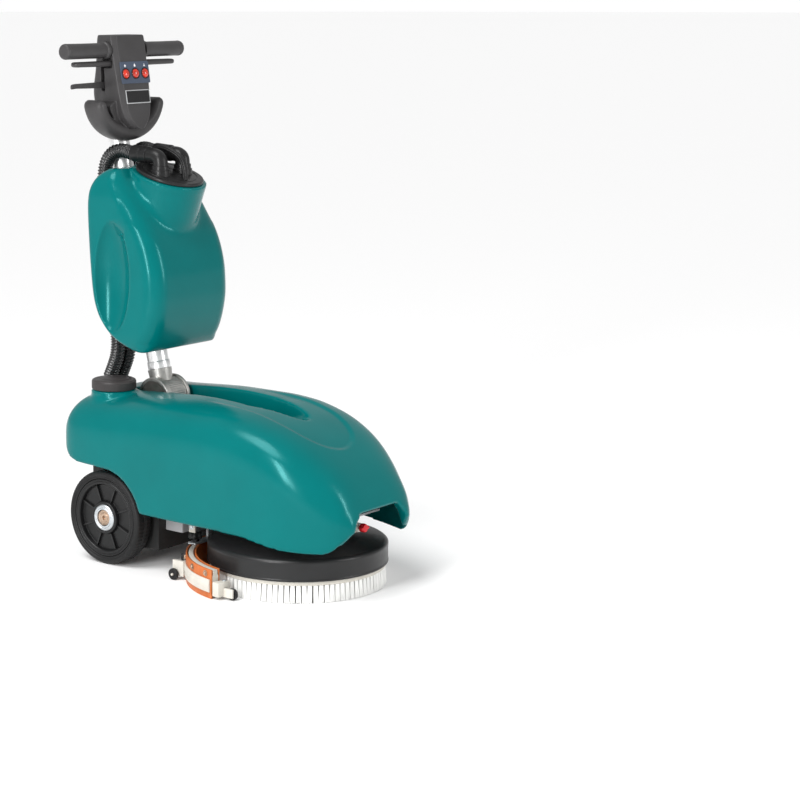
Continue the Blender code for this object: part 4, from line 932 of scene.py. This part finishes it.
def make_squeegee():
    first, last = TIP_ANGLE, 180 - TIP_ANGLE
    middle = SQUEEGEE_RADIUS
    channel = rounded([(middle - 0.0074, 0.020), (middle + 0.0074, 0.020), (middle + 0.0074, 0.046),
                       (middle + 0.0050, 0.050), (middle + 0.0050, BLADE_HEIGHT - 0.0012),
                       (middle - 0.0050, BLADE_HEIGHT - 0.0012), (middle - 0.0050, 0.050),
                       (middle - 0.0074, 0.046)], 0.0012)
    housing = thing("squeegee_body", arc_bar(channel, first, last))
    fixings = []
    strap_parts = []
    for side, name in SIDES:
        end_angle = 180 - first if side < 0 else first
        step = -float(side)
        shoe = thing("shoe", arc_bar(rectangle(0.1965, middle + 0.0104, 0.0065, 0.0360, 0.002),
                                     end_angle + step * 0.6, end_angle + step * 5.0, 8))
        soften_edges(shoe, 0.0014, 2)
        merge_in(housing, shoe)
        add(housing, arc_bar(rectangle(middle - 0.0050, middle + 0.0050, 0.0185, 0.0355),
                             end_angle - step * 2.0, end_angle + step * 3.0, 4))
        x, y = side * 0.2045, BRUSH_Y + 0.004
        add(housing, block((x + side * 0.006, y - 0.007, 0.006), (x + side * 0.010, -0.128, 0.024)))
        add(housing, rod(0.0025, (x - side * 0.006, y, ROLLER_Z), (x + side * 0.0105, y, ROLLER_Z), 16))
        make_roller("front_roller_" + name, (x, y, ROLLER_Z))
        top = arc_ring(end_angle + step * 2.8, [(0.206, 0.0360)])[0]
        fixings += bolt_head(top, (0, 0, 1), 0.0036, 0.0026)
        for back in (18.0, 36.0):
            at = arc_ring(end_angle - step * back, [(middle - 0.0106, 0.0505)])[0]
            out = Vector((0, BRUSH_Y, at.z)) - at
            fixings += bolt_head(at + out.normalized() * 0.0002, out, 0.0040, 0.0030)

        x, y = side * 0.166, 0.040
        strap_parts.append(block((x - side * 0.013, 0.0186, 0.008), (x - side * 0.0065, y + 0.008, 0.040)))
        strap_parts.append(rod(0.0025, (x - side * 0.010, y, ROLLER_Z), (x + side * 0.0062, y, ROLLER_Z), 16))
        make_roller("rear_roller_" + name, (x, y, ROLLER_Z))
    finish(housing, "squeegee", "ivory", "ivory_plastic", "squeegee_housing", sharp=35)
    finish(joined("squeegee_bolts", fixings), "squeegee", "zinc", "zinc_steel", sharp=35)
    studs = []
    for degrees in (132.0, 151.0, 165.0):
        for angle in (degrees, 180.0 - degrees):
            at = arc_ring(angle, [(middle + 0.0107, 0.0500)])[0]
            out = at - Vector((0, BRUSH_Y, at.z))
            studs += bolt_head(at, out, 0.0046, 0.0040)
    finish(joined("squeegee_studs", studs), "squeegee", "bronze", "bronze_bolt", sharp=35)
    latches = []
    grip = rounded([(-0.0050, 0.0260), (0.0050, 0.0260), (0.0050, 0.0480), (0.0015, 0.0545),
                    (-0.0035, 0.0540), (-0.0050, 0.0480)], 0.0016)
    for side in (-1, 1):
        at = arc_ring(90 - side * 39.0, [(middle + 0.0150, 0.0)])[0]
        out = (at - Vector((0, BRUSH_Y, 0))).normalized()
        across = Vector((-out.y, out.x, 0))
        latches.append(loft([[at + reach * out + a * across + Vector((0, 0, z)) for a, z in grip]
                             for reach in (0.0, 0.0050)]))
    finish(joined("squeegee_latches", latches), "squeegee", "black", "black_plastic", sharp=35)

    for name, inner, outer in (("front", middle - 0.0106, middle - 0.0078),
                               ("rear", middle + 0.0078, middle + 0.0106)):
        edge = rectangle(inner, outer, GAP, BLADE_HEIGHT, 0.0005, 2)
        blade = thing("squeegee_lip_" + name, arc_bar(edge, first, last, 96))
        finish(blade, "squeegee", "gum", "gum_rubber", "squeegee_blade_" + name, sharp=35)

    band = rounded(
        [(middle + 0.0109, 0.0135), (middle + 0.0138, 0.0135), (middle + 0.0138, 0.0220),
         (middle + 0.0145, 0.0240), (middle + 0.0145, 0.0300), (middle + 0.0138, 0.0320),
         (middle + 0.0138, 0.0398), (middle + 0.0109, 0.0398)], 0.0006, True, 2)
    strap = thing("squeegee_clamp_band", arc_bar(band, first + 1, last - 1, 96))
    for mesh in strap_parts:
        add(strap, mesh)
    finish(strap, "squeegee", "ivory", "ivory_plastic", "squeegee_strap", sharp=35)

    yoke = soft_block("squeegee_hanger", (-0.104, 0.034, 0.0603), (0.104, 0.056, 0.0655), 0.0022)
    beam = soft_block("beam", (-0.098, 0.037, 0.0870), (0.098, 0.053, 0.1100), 0.0020)
    for side in (-1, 1):
        post = lathe([(0, 0.160), (0.0030, 0.160), (0.0045, 0.1570), (0.0045, 0.0640), (0, 0.0640)],
                     32, False, 0.0008)
        add(yoke, post, (side * POST_X, POST_Y, 0))
    merge_in(yoke, beam)
    finish(yoke, "squeegee", "zinc", "zinc_steel", "squeegee_yoke", sharp=35)
    for side, name in SIDES:
        knob = lathe([(0.0, 0.0196), (0.0048, 0.0198), (0.0056, 0.0205), (0.0110, 0.0203), (0.0155, 0.0178),
                      (0.0166, 0.0140), (0.0165, 0.0100), (0.0130, 0.0065), (0.0082, 0.0052),
                      (0.0072, GAP), (0.0, GAP)], 120, False, 0.0008, ripples(6, 0.0026, 0.0125))
        obj = thing("squeegee_star_knob_" + name, knob, (side * 0.090, POST_Y, 0.0655))
        finish(obj, "squeegee", "black", "black_plastic", "squeegee_knob_" + name)


def make_roller(name, centre):
    wheel = lathe([(0.0032, 0.0040), (0.0050, 0.0040), (0.0056, 0.0034), (0.0086, 0.0034), (0.0094, 0.0040),
                   (0.0106, 0.0038), (0.0120, 0.0024), (0.0120, -0.0024), (0.0106, -0.0038),
                   (0.0094, -0.0040), (0.0086, -0.0034), (0.0056, -0.0034), (0.0050, -0.0040),
                   (0.0032, -0.0040)], 64, True, 0.0004)
    obj = thing(name + "_wheel", wheel, centre, (0, 90, 0))
    finish(obj, name, "tyre", "tyre_rubber", name)


# Chassis, hinge and column ----------------------------------------------------------------------

def make_chassis():
    """The bracket under the body, the lugs on the hanger's ends, and the bolts in both."""
    bracket = thing("squeegee_carrier", block((-0.095, 0.024, 0.1425), (0.095, 0.1247, 0.1480)))
    add(bracket, block((-0.095, 0.077, 0.078), (0.095, 0.1247, 0.145)))
    soften_edges(bracket, 0.0030, 3)
    for side in (-1, 1):
        cut(bracket, rod(0.0052, (side * POST_X, POST_Y, 0.10), (side * POST_X, POST_Y, 0.18), 24))
    finish(bracket, "base", "grey", "grey_paint", "squeegee_bracket", sharp=35)

    fixings, lugs, lug_bolts = [], [], []
    for side in (-1, 1):
        lugs.append(soft_block("lug", (side * 0.0983, 0.036, 0.0860), (side * 0.1030, 0.054, 0.1110), 0.0020))
        lug_bolts += bolt_head(Vector((side * 0.1032, 0.045, 0.0995)), (side, 0, 0), 0.0048, 0.0034)
    for x in (-0.085, 0.085):
        for y in (-0.270, 0.108):
            fixings += bolt_head(Vector((x, y, 0.1480)), (0, 0, -1), 0.0055, 0.0040)
    merge_in(lugs[0], lugs[1])
    lugs[0].name = "hanger_lugs"
    finish(lugs[0], "squeegee", "ivory", "ivory_plastic", sharp=35)
    finish(joined("hanger_bolts", lug_bolts), "squeegee", "zinc", "zinc_steel", sharp=35)
    finish(joined("chassis_bolts", fixings), "base", "zinc", "zinc_steel", sharp=35)


def make_valve():
    valve = lathe([(0, 0.0), (0.0060, 0.0), (0.0085, 0.0008), (0.0085, 0.0120), (0.0074, 0.0132),
                   (0.0074, 0.0240), (0.0085, 0.0252), (0.0085, 0.0445), (0.0060, 0.0470), (0, 0.0470)],
                  64, False, 0.0006)
    valve.transform(turn_to((0, -0.0455, 0.0136)))
    body = thing("flow_valve_barrel", valve, (0, -0.268, 0.1215))
    add(body, rod(0.0060, (0, -0.276, 0.122), (0, -0.276, 0.148), 24))
    finish(body, "base", "ivory", "ivory_plastic", "flow_valve", sharp=35)
    knob = lathe([(0, 0.0), (0.0082, 0.0), (0.0090, 0.0010), (0.0090, 0.0075), (0.0078, 0.0112), (0, 0.0116)],
                 72, False, 0.0008, ripples(18, 0.0012, 0.0085))
    handle = thing("flow_valve_handle", knob, (0, -0.3170, 0.1360), (90, 0, 0))
    merge_in(handle, soft_block("wing", (-0.0128, -0.3285, 0.1328), (0.0128, -0.3200, 0.1392), 0.0022))
    finish(handle, "flow_valve_knob", "red", "red_plastic", "flow_valve_knob", sharp=35)


def cheek_disc(thick):
    """A flat round cheek with a shallow dish inside its rim."""
    half = thick / 2
    floor = half - 0.0009
    return lathe([(0, floor), (HINGE_RADIUS - 0.0075, floor), (HINGE_RADIUS - 0.0062, half),
                  (HINGE_RADIUS - 0.0016, half), (HINGE_RADIUS, half - 0.0016),
                  (HINGE_RADIUS, -half + 0.0016), (HINGE_RADIUS - 0.0016, -half), (0, -half)],
                 96, False, 0.0006)


def make_hinge():
    ears = []
    for low, high, side in ((-0.0360, -0.0208, -1), (0.0285, 0.0360, 1)):
        cheek = cheek_disc(high - low)
        cheek.transform(Matrix.Translation(((low + high) / 2, HINGE.y, HINGE.z))
                        @ Matrix.Rotation(math.radians(90 * side), 4, "Y"))
        ear = thing("ear", cheek)
        add(ear, block((low, 0.176, 0.296), (high, 0.244, 0.320)))
        ears.append(ear)
    foot = soft_block("hinge_casting", (-0.0360, 0.170, 0.2935), (0.0360, 0.245, 0.3000), 0.0015, 2)
    for ear in ears:
        merge_in(foot, ear)
    cut(foot, rod(0.0063, (-0.05, HINGE.y, HINGE.z), (0.05, HINGE.y, HINGE.z), 24))
    finish(foot, "base", "alloy", "cast_alloy", "hinge_base", sharp=35)

    face = lathe([(0.0070, 0.0), (0.0362, 0.0), (0.0362, 0.0006), (0.0070, 0.0006)], 96, True)
    plate = thing("hinge_face", face, (-0.0361, HINGE.y, HINGE.z), (0, -90, 0))
    finish(plate, "base", "alloy_dark", "cast_alloy", sharp=35)
    pin = lathe([(0, 0.0378), (0.0040, 0.0378), (0.0050, 0.0372), (0.0058, 0.0360), (0.0058, -0.0360),
                 (0.0050, -0.0372), (0.0040, -0.0378), (0, -0.0378)], 48, False, 0.0004)
    finish(thing("hinge_bolt", pin, HINGE, (0, 90, 0)), "base", "zinc", "zinc_steel", "hinge_pin")


def make_column():
    fins = ripples(56, 0.00055, 0.0380, lambda z: abs(z) < 0.0215)
    barrel = lathe([(0.0064, 0.0242), (0.0384, 0.0242), (0.0400, 0.0226), (0.0402, 0.0214), (0.0402, -0.0214),
                    (0.0400, -0.0226), (0.0384, -0.0242), (0.0064, -0.0242)], 448, True, 0.0006, fins)
    knuckle = thing("column_knuckle_casting", barrel, HINGE + Vector((0.00385, 0, 0)), (0, 90, 0))
    arm = bmesh.new()
    bmesh.ops.create_cone(arm, cap_ends=True, segments=48, radius1=0.0235, radius2=0.0262, depth=0.030)
    arm.transform(Matrix.Translation(lean(0.0445)) @ COLUMN_TURN)
    add(knuckle, arm)
    add(knuckle, rod(0.0200, lean(0.050), lean(0.100), 32))
    finish(knuckle, "column", "alloy", "cast_alloy", "column_knuckle", sharp=35)

    length = up_column(0.936) - TUBE_START
    wall = lathe([(TUBE_RADIUS - 0.0025, 0.0), (TUBE_RADIUS + 0.0012, 0.0), (TUBE_RADIUS + 0.0014, 0.0010),
                  (TUBE_RADIUS + 0.0014, 0.0150), (TUBE_RADIUS + 0.0008, 0.0160), (TUBE_RADIUS, 0.0163),
                  (TUBE_RADIUS, length), (TUBE_RADIUS - 0.0025, length)][::-1], 96, True)
    wall.transform(COLUMN_TURN)
    finish(thing("column_tube_skin", wall, lean(TUBE_START)), "column", "silver", "silver_tube",
           "column_tube")


# Recovery tank and lid --------------------------------------------------------------------------

def tank_ring(z, corner_points=10):
    """A level slice of the recovery tank: wide round front corners and tighter rear ones."""
    front = gentle(TANK_FRONT, z, 0.010)
    rear = gentle(TANK_REAR, z, 0.006)
    half = gentle(TANK_SIDE, z, 0.006)
    depth = rear - front
    front_radius = min(0.038, 0.45 * depth)
    rear_radius = min(0.015, 0.45 * depth)
    outline = []
    for radius, y, start in ((rear_radius, rear - rear_radius, 90), (front_radius, front + front_radius, 0)):
        for i in range(corner_points + 1):
            angle = math.radians(start - 90 * i / corner_points)
            outline.append((half - radius + radius * math.cos(angle), y + radius * math.sin(angle), z))
    return outline + [(-x, y, level) for x, y, level in reversed(outline)]


def channel_ring(z):
    """The slot in the tank's back that the column stands in."""
    front = column_y(z) - 0.0285
    return [(0.0290, front, z), (0.0290, 0.420, z), (-0.0290, 0.420, z), (-0.0290, front, z)]


def flow_neck(mesh):
    """Even out the join between the round neck and the tank's shoulders."""
    near = []
    for vertex in mesh.verts:
        away = vertex.co - LID_CENTRE
        along = away.dot(NECK_DOWN)
        across = (away - along * NECK_DOWN).length
        if 0.014 < along < 0.130 and 0.030 < across < 0.125 and vertex.co.y < 0.245:
            near.append(vertex)
    for _ in range(NECK_PASSES):
        bmesh.ops.smooth_vert(mesh, verts=near, factor=0.5, use_axis_x=True, use_axis_y=True,
                              use_axis_z=True)


def make_recovery_tank():
    levels = stations(TANK_LOW, TANK_HIGH, 64)
    tank = thing("recovery_tank_moulding", loft([tank_ring(z) for z in levels]))
    add(tank, rod(NECK_RADIUS - 0.003, LID_CENTRE + 0.095 * NECK_DOWN, LID_CENTRE + GAP * NECK_DOWN, 96,
                  NECK_RADIUS))
    for side in (-1, 1):
        cut(tank, egg((side * DIMPLE.x, DIMPLE.y, DIMPLE.z), DIMPLE_SIZES))
    cut(tank, loft([channel_ring(z) for z in (0.40, 0.90)]))
    melt(tank, 0.0024, 9)
    with_mesh(tank, flow_neck)
    cut(tank, rod(0.0680, LID_CENTRE + 0.110 * NECK_DOWN, LID_CENTRE - 0.02 * NECK_DOWN, 96))
    finish(tank, "recovery_tank", "teal", "teal_plastic", "recovery_tank", sharp=60)


def elbow_points(x):
    return [(x, 0.187, 0.815), (x, 0.187, 0.8400), (x, 0.1895, 0.8515), (x, 0.1985, 0.8575),
            (x, 0.212, 0.8590), (x, 0.2620, 0.8620)]


def make_lid():
    lid = lathe([(0.0, LID_TOP), (0.0230, LID_TOP), (0.0236, LID_TOP - 0.0008), (0.0250, LID_TOP - 0.0008),
                 (0.0256, LID_TOP), (0.0560, LID_TOP), (0.0568, LID_TOP - 0.0010), (0.0590, LID_TOP - 0.0010),
                 (0.0598, LID_TOP), (0.0695, LID_TOP), (0.0722, 0.0062), (LID_RADIUS, 0.0042),
                 (LID_RADIUS, 0.0012), (0.0722, GAP), (0.0670, GAP), (0.0665, -0.0120), (0.0, -0.0120)],
                144, False, 0.0006)
    finish(thing("tank_lid_moulding", lid, LID_CENTRE, (LID_TILT, 0, 0)), "tank_lid", "black",
           "black_plastic", "tank_lid")

    def trim(obj):
        """Cut off what reaches below the lid's top."""
        cut(obj, block((-0.10, -0.10, -0.10), (0.10, 0.10, LID_TOP + GAP)), LID_CENTRE, (LID_TILT, 0, 0))

    for side, name in SIDES:
        x = side * ELBOW_X
        route = through(elbow_points(x), 40)
        elbow = thing("hose_elbow_moulding_" + name, sweep(route, lambda i, s: circle(0.0158, 40)))
        cuff = lathe([(0, 0.0), (0.0166, 0.0), (0.0175, 0.0010), (0.0175, 0.0185), (0.0170, 0.0190),
                      (0.0170, 0.0202), (0.0176, 0.0207), (0.0176, 0.0425), (0.0168, 0.0440), (0, 0.0440)],
                     64, False, 0.0004)
        cuff.transform(turn_to((0, 0.0440, 0.0026)))
        add(elbow, cuff, (x, 0.2180, 0.8594))
        flange = lathe([(0, 0.0270), (0.0172, 0.0270), (0.0180, 0.0255), (0.0182, 0.0180), (0.0205, 0.0165),
                        (0.0205, 0.0), (0, 0.0)], 64, False, 0.0008)
        add(elbow, flange, (x, 0.187, 0.8120))
        trim(elbow)
        finish(elbow, "tank_lid", "black", "black_plastic", "hose_elbow_" + name, sharp=35)

    route = through([(0, 0.149, 0.800), (0, 0.150, 0.830), (0, 0.160, 0.852), (0, 0.184, 0.866),
                     (0, 0.214, 0.8735), (0, 0.234, 0.8680), (0, 0.2410, 0.852), (0, 0.2400, 0.825)], 60)
    strap = [(0.0070 * math.cos(a) * (0.80 + 0.20 * abs(math.cos(3 * a))),
              0.0058 * math.sin(a) * (0.70 + 0.30 * abs(math.cos(3 * a))))
             for a in np.linspace(0, 2 * math.pi, 48, endpoint=False)]
    handle = thing("lid_bail", sweep(route, lambda i, s: strap))
    trim(handle)
    finish(handle, "tank_lid", "black", "black_plastic", "lid_handle", sharp=50)


# Hoses ------------------------------------------------------------------------------------------

def hose_route(x_lid, x_port, x_middle):
    wide = 1.18 * x_lid
    return [(x_lid, 0.2620, 0.8620), (x_lid, 0.2740, 0.8627), (1.03 * x_lid, 0.2900, 0.8655),
            (1.12 * x_lid, 0.3080, 0.8635), (wide, 0.3250, 0.8520), (wide, 0.3370, 0.8320),
            (wide, 0.3425, 0.8040), (wide, 0.3435, 0.7500), (x_middle, 0.3430, 0.6800),
            (x_port, 0.3385, 0.6000), (x_port, 0.3280, 0.5500), (x_port, 0.3150, 0.5000),
            (x_port, 0.3070, 0.4600), (x_port, 0.3090, 0.4250), (x_port, 0.3190, 0.3980),
            (x_port, 0.3300, 0.3750), (x_port, 0.3310, 0.3640), (x_port, 0.3310, PORT_TOP)]


HOSES = {"near": hose_route(-ELBOW_X, -0.042, -0.040), "far": hose_route(ELBOW_X, -0.006, 0.020)}
# Each stretch: its name, the share of the hose where it ends, and the bodies that it runs between
STRETCHES = (("upper", 8.5 / 26, "tank_lid", "recovery_tank"),
             ("middle", 20.5 / 26, "recovery_tank", "column"),
             ("lower", 1.0, "column", "base"))


def make_hoses():
    """Corrugated hose in three stretches, split where it passes a joint."""
    for name, corners in HOSES.items():
        route = through(corners, 200)
        length = sum((b - a).length for a, b in zip(route, route[1:]))
        count = int(length / HOSE_PITCH) * STEPS_PER_PITCH + 1
        points = through(corners, count)
        first = 0
        for part, share_end, upper_body, lower_body in STRETCHES:
            last = round((count - 1) * share_end)

            def ring(i, share, first=first):
                ridge = 0.5 + 0.5 * math.cos(2 * math.pi * (first + i) / STEPS_PER_PITCH)
                return circle(HOSE_RADIUS - HOSE_RIDGE * (1 - ridge ** 1.5), 32)
            hose = thing(f"hose_{part}_{name}_corrugated", sweep(points[first:last + 1], ring))
            dress(hose, "hose", 80)
            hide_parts(f"hose_{part}_{name}")
            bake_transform(hose)
            first = last


# Control head -----------------------------------------------------------------------------------

def head_ring(z):
    """A level slice of the control head: chamfered front edges and rounded rear corners."""
    half = gentle(HEAD_SIDE, z)
    front = face_y(z)
    rear = gentle(HEAD_REAR, z)
    edge = min(0.009, 0.4 * half)
    corner = min(0.016, 0.8 * half)
    right = [(0.35 * half, front), (half - edge, front), (half, front + edge)]
    right += [(half - corner + corner * math.cos(a), rear - corner + corner * math.sin(a))
              for a in np.radians(np.linspace(0, 90, 10))]
    return [(x, y, z) for x, y in mirrored(right)]


def wing_ring(degrees):
    """A cross-section of the guard, which is an arc from one horn's tip under the face to the other's."""
    angle = math.radians(degrees)
    from_tip = min(degrees - 183, 357 - degrees)
    taper = math.sqrt(max(0.03, 1 - max(0.0, 1 - from_tip / 9) ** 2))
    full_thick = 0.0150 + 0.0060 * math.sin(angle) ** 4
    half_thick = full_thick * taper
    half_deep = 0.0270 * (0.70 + 0.30 * taper)
    radius = 0.0946 + 0.0120 * math.cos(angle) ** 2 - full_thick
    out = Vector((math.cos(angle), 0, math.sin(angle)))
    centre = Vector((0, 0.321, 0.978)) + out * radius
    ring = []
    for i in range(36):
        turn = math.radians(10 * i)
        across = math.copysign(abs(math.cos(turn)) ** 0.7, math.cos(turn))
        deep = math.copysign(abs(math.sin(turn)) ** 0.7, math.sin(turn))
        ring.append(centre + out * half_thick * across + Vector((0, half_deep * deep, 0)))
    return ring


def make_head():
    levels = [HEAD_LOW + (HEAD_HIGH - HEAD_LOW) * i / 48 for i in range(49)]
    head = thing("control_head_moulding", loft([head_ring(z) for z in levels]))
    merge_in(head, thing("guard", loft([wing_ring(183 + 174 * i / 72) for i in range(73)])))
    web = rounded([(-0.070, 0.962), (-0.034, 0.905), (0.0, 0.892), (0.034, 0.905), (0.070, 0.962),
                   (0.0, 0.985)], 0.018, True, 6)
    add(head, slab(web, 0.302, 0.340))
    add(head, rod(0.0285, lean(up_column(0.897)), lean(up_column(0.945)), 56, 0.0252))
    cut(head, rod(TUBE_RADIUS + 0.0006, lean(up_column(0.860)), lean(up_column(0.938)), 56))
    cut(head, block((-0.080, 0.3325, 0.9900), (0.0320, 0.3415, 1.0460)))
    for side in (-1, 1):
        cut(head, block((side * 0.0420, 0.3095, 1.0400), (side * 0.0700, 0.3335, 1.0585)))
    melt(head, 0.0014, 8)
    cut(head, rod(0.0114, GRIP_AXIS - Vector((0.1, 0, 0)), GRIP_AXIS + Vector((0.1, 0, 0)), 40))
    finish(head, "column", "dark", "dark_grey_plastic", "head_shell", "head_guard", sharp=60)


def on_face(x, z, out=0.0):
    angle = math.radians(FACE_LEAN)
    return Vector((x, face_y(z), z)) + out * Vector((0, -math.cos(angle), math.sin(angle)))


def face_plate(name, half_width, low, high, thick, corner, centre, base=GAP):
    """A thin plate with rounded corners lying on the leaning face."""
    outline = rectangle(-half_width, half_width, low, high, corner, 5)
    lip = 0.0004
    rings = [[(x, -base, z) for x, z in outline],
             [(x, -thick + lip, z) for x, z in outline],
             [(x * (1 - lip / half_width), -thick, z * (1 - lip / high) if z > 0 else z * (1 + lip / low))
              for x, z in outline]]
    return thing(name, loft(rings), centre, (-FACE_LEAN, 0, 0))


def icon_shapes():
    """Three plain marks over the switches, in the panel's plane: water, suction and brush."""
    drop = [(0.0028 * math.cos(a) * (1 - 0.62 * max(0.0, math.sin(a))),
             0.0028 * math.sin(a) + (0.0016 * max(0.0, math.sin(a)) ** 3))
            for a in np.linspace(0, 2 * math.pi, 28, False)]
    petal = [(0.0017 + 0.0015 * math.cos(a), 0.0010 * math.sin(a))
             for a in np.linspace(0, 2 * math.pi, 14, False)]
    blades = []
    for k in range(4):
        turn = math.radians(90 * k)
        blades.append([(x * math.cos(turn) - z * math.sin(turn), x * math.sin(turn) + z * math.cos(turn))
                       for x, z in petal])
    handle = [(-0.0006, 0.0), (0.0006, 0.0), (0.0006, 0.0034), (-0.0006, 0.0034)]
    head = [(-0.0026, -0.0024), (0.0026, -0.0024), (0.0016, -0.0002), (-0.0016, -0.0002)]
    return [blades, [drop], [handle, head]]


def make_controls():
    centre = on_face(0, 1.0290)
    panel = face_plate("switch_panel_film", 0.044, -0.0230, 0.0235, 0.0022, 0.0035, centre)
    for x in SWITCH_X:
        cut(panel, rod(0.0102, (0, 0.004, 0), (0, -0.006, 0), 40), on_face(x, SWITCH_Z), (-FACE_LEAN, 0, 0))
    finish(panel, "column", "panel", "blue_grey_panel", "switch_panel", sharp=35)
    marks = [slab([(x + px, MARK_Z + pz) for px, pz in outline], -0.0022, -0.00238)
             for x, shapes in zip(SWITCH_X, icon_shapes()) for outline in shapes]
    icons = joined("panel_icons", marks)
    icons.data.transform(Matrix.Translation(centre) @ FACE_TURN)
    finish(icons, "column", "mark", "ivory_plastic", sharp=35)

    rings = []
    for number, x in enumerate(SWITCH_X, 1):
        lens = lathe([(0.0, 0.0080), (0.0028, 0.0078), (0.0056, 0.0069), (0.0080, 0.0051), (0.0092, 0.0034),
                      (0.0096, 0.0026), (0.0096, 0.0017), (0.0, 0.0017)], 64, False, 0.0003)
        lens.transform(Matrix.Rotation(math.radians(90), 4, "X"))
        finish(thing(f"switch_lens_{number}", lens, on_face(x, SWITCH_Z), (-FACE_LEAN, 0, 0)),
               f"switch_{number}", "lens", "red_plastic", f"switch_{number}")
        ring = lathe([(0.0099, 0.0024), (0.0104, 0.0036), (0.0114, 0.0038), (0.0121, 0.0030),
                      (0.0122, 0.0024)], 72, True, 0.0003)
        ring.transform(Matrix.Rotation(math.radians(90), 4, "X"))
        ring.transform(Matrix.Translation(on_face(x, SWITCH_Z)) @ FACE_TURN)
        rings.append(ring)
    finish(joined("switch_bezels", rings), "column", "black", "black_plastic", sharp=35)

    at = on_face(0, 0.9785)
    frame_plate = face_plate("label_frame", 0.0370, -0.0145, 0.0145, 0.0020, 0.0016, at)
    cut(frame_plate, block((-0.0354, -0.0040, -0.0129), (0.0354, -0.0014, 0.0129)), at, (-FACE_LEAN, 0, 0))
    finish(frame_plate, "column", "frame", "zinc_steel", sharp=35)
    blank = face_plate("label_blank", 0.0350, -0.0125, 0.0125, 0.0019, 0.0008, at, base=0.00145)
    for k in range(5):
        z = -0.0084 + 0.0042 * k
        cut(blank, block((-0.031, -0.0030, z - 0.0005), (0.031, -0.0017, z + 0.0005)), at, (-FACE_LEAN, 0, 0))
    finish(blank, "column", "black", "black_plastic", "label_plate", sharp=35)

    reach = Vector((0.172, 0, 0))
    bar = thing("handlebar_tube", rod(0.0110, GRIP_AXIS - reach, GRIP_AXIS + reach, 64))
    finish(bar, "column", "zinc", "zinc_steel", "handlebar")
    for side, name in SIDES:
        profile = [(0.0, GRIP_END_X - 0.0006), (0.0090, GRIP_END_X), (0.0138, GRIP_END_X - 0.0008),
                   (0.0158, GRIP_END_X - 0.0030), (GRIP_RADIUS, GRIP_END_X - 0.0060),
                   (GRIP_RADIUS, GRIP_END_X - 0.0095), (0.0158, GRIP_END_X - 0.0102),
                   (0.0158, GRIP_END_X - 0.0116), (0.0163, GRIP_END_X - 0.0124), (0.0161, 0.1200),
                   (0.0163, 0.0720), (0.0160, 0.0640), (0.0190, 0.0620), (0.0190, 0.0550),
                   (0.0114, 0.0545), (0.0114, 0.1725), (0.0, 0.1725)]
        grip = thing("grip_sleeve_" + name, lathe(profile, 96, False, 0.0006), GRIP_AXIS, (0, 90 * side, 0))
        finish(grip, "column", "dark", "dark_grey_plastic", "grip_" + name)
        make_trigger(side, name)
    make_lever()


def make_trigger(side, name):
    """A rounded paddle under the grip that thins and rises a little at its free end."""
    rings = []
    for i in range(41):
        share = i / 40
        x = side * (0.0455 + 0.1095 * share)
        end = math.sqrt(max(0.02, 1 - max(0.0, (share - 0.93) / 0.07) ** 2))
        start = math.sqrt(max(0.05, 1 - max(0.0, (0.03 - share) / 0.03) ** 2))
        half_y = 0.0110 * min(end, start)
        half_z = (0.0062 - 0.0006 * share) * min(end, start)
        ring = []
        for a in np.linspace(0, 2 * math.pi, 24, endpoint=False):
            c, s = math.cos(a), math.sin(a)
            ring.append((x, 0.3215 + half_y * math.copysign(abs(c) ** 0.6, c),
                         1.0485 + half_z * math.copysign(abs(s) ** 0.6, s)))
        rings.append(ring)
    finish(thing("trigger_paddle_" + name, loft(rings)), "trigger_" + name, "dark", "dark_grey_plastic",
           "trigger_" + name, sharp=50)


def make_lever():
    """A flat blade with a rounded boss at the pivot and a small downturned tip."""
    near, far = LEVER_PIVOT.y - 0.0025, LEVER_PIVOT.y + 0.0025
    rings = []
    for x, half, drop in ((-0.1450, 0.0030, -0.0018), (-0.1440, 0.0046, -0.0014), (-0.1400, 0.0050, -0.0006),
                          (-0.1330, 0.0050, 0.0), (-0.1000, 0.0057, 0.0), (-0.0550, 0.0066, 0.0),
                          (LEVER_PIVOT.x, 0.0068, 0.0)):
        low, high = LEVER_PIVOT.z - half + drop, LEVER_PIVOT.z + half + drop
        rings.append([(x, y, z) for y, z in rounded([(near, low), (near, high), (far, high), (far, low)],
                                                    0.0010)])
    lever = thing("lift_lever_blade", loft(rings))
    boss = lathe([(0, 0.0025), (0.0076, 0.0025), (0.0085, 0.0016), (0.0085, -0.0016), (0.0076, -0.0025),
                  (0, -0.0025)], 48, False, 0.0003)
    add(lever, boss, LEVER_PIVOT, (90, 0, 0))
    finish(lever, "lift_lever", "dark", "dark_grey_plastic", "lift_lever", sharp=35)


# Inner nodes that keep their CAD shape ----------------------------------------------------------

def dress_inner_nodes():
    for node, look in (("battery_tray", "steel"), ("battery_pack", "cell"), ("vacuum_motor", "motor"),
                       ("brush_gear_motor", "motor"), ("motor_plate", "grey")):
        dress(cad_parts[node], look, 35)


# Assembly ---------------------------------------------------------------------------------------

make_camera()
make_studio()
LOOKS = make_materials()
make_body()
make_filler_cap()
make_deck()
make_brush()
make_wheels()
make_squeegee()
make_chassis()
make_valve()
make_hinge()
make_column()
make_recovery_tank()
make_lid()
make_hoses()
make_head()
make_controls()
dress_inner_nodes()
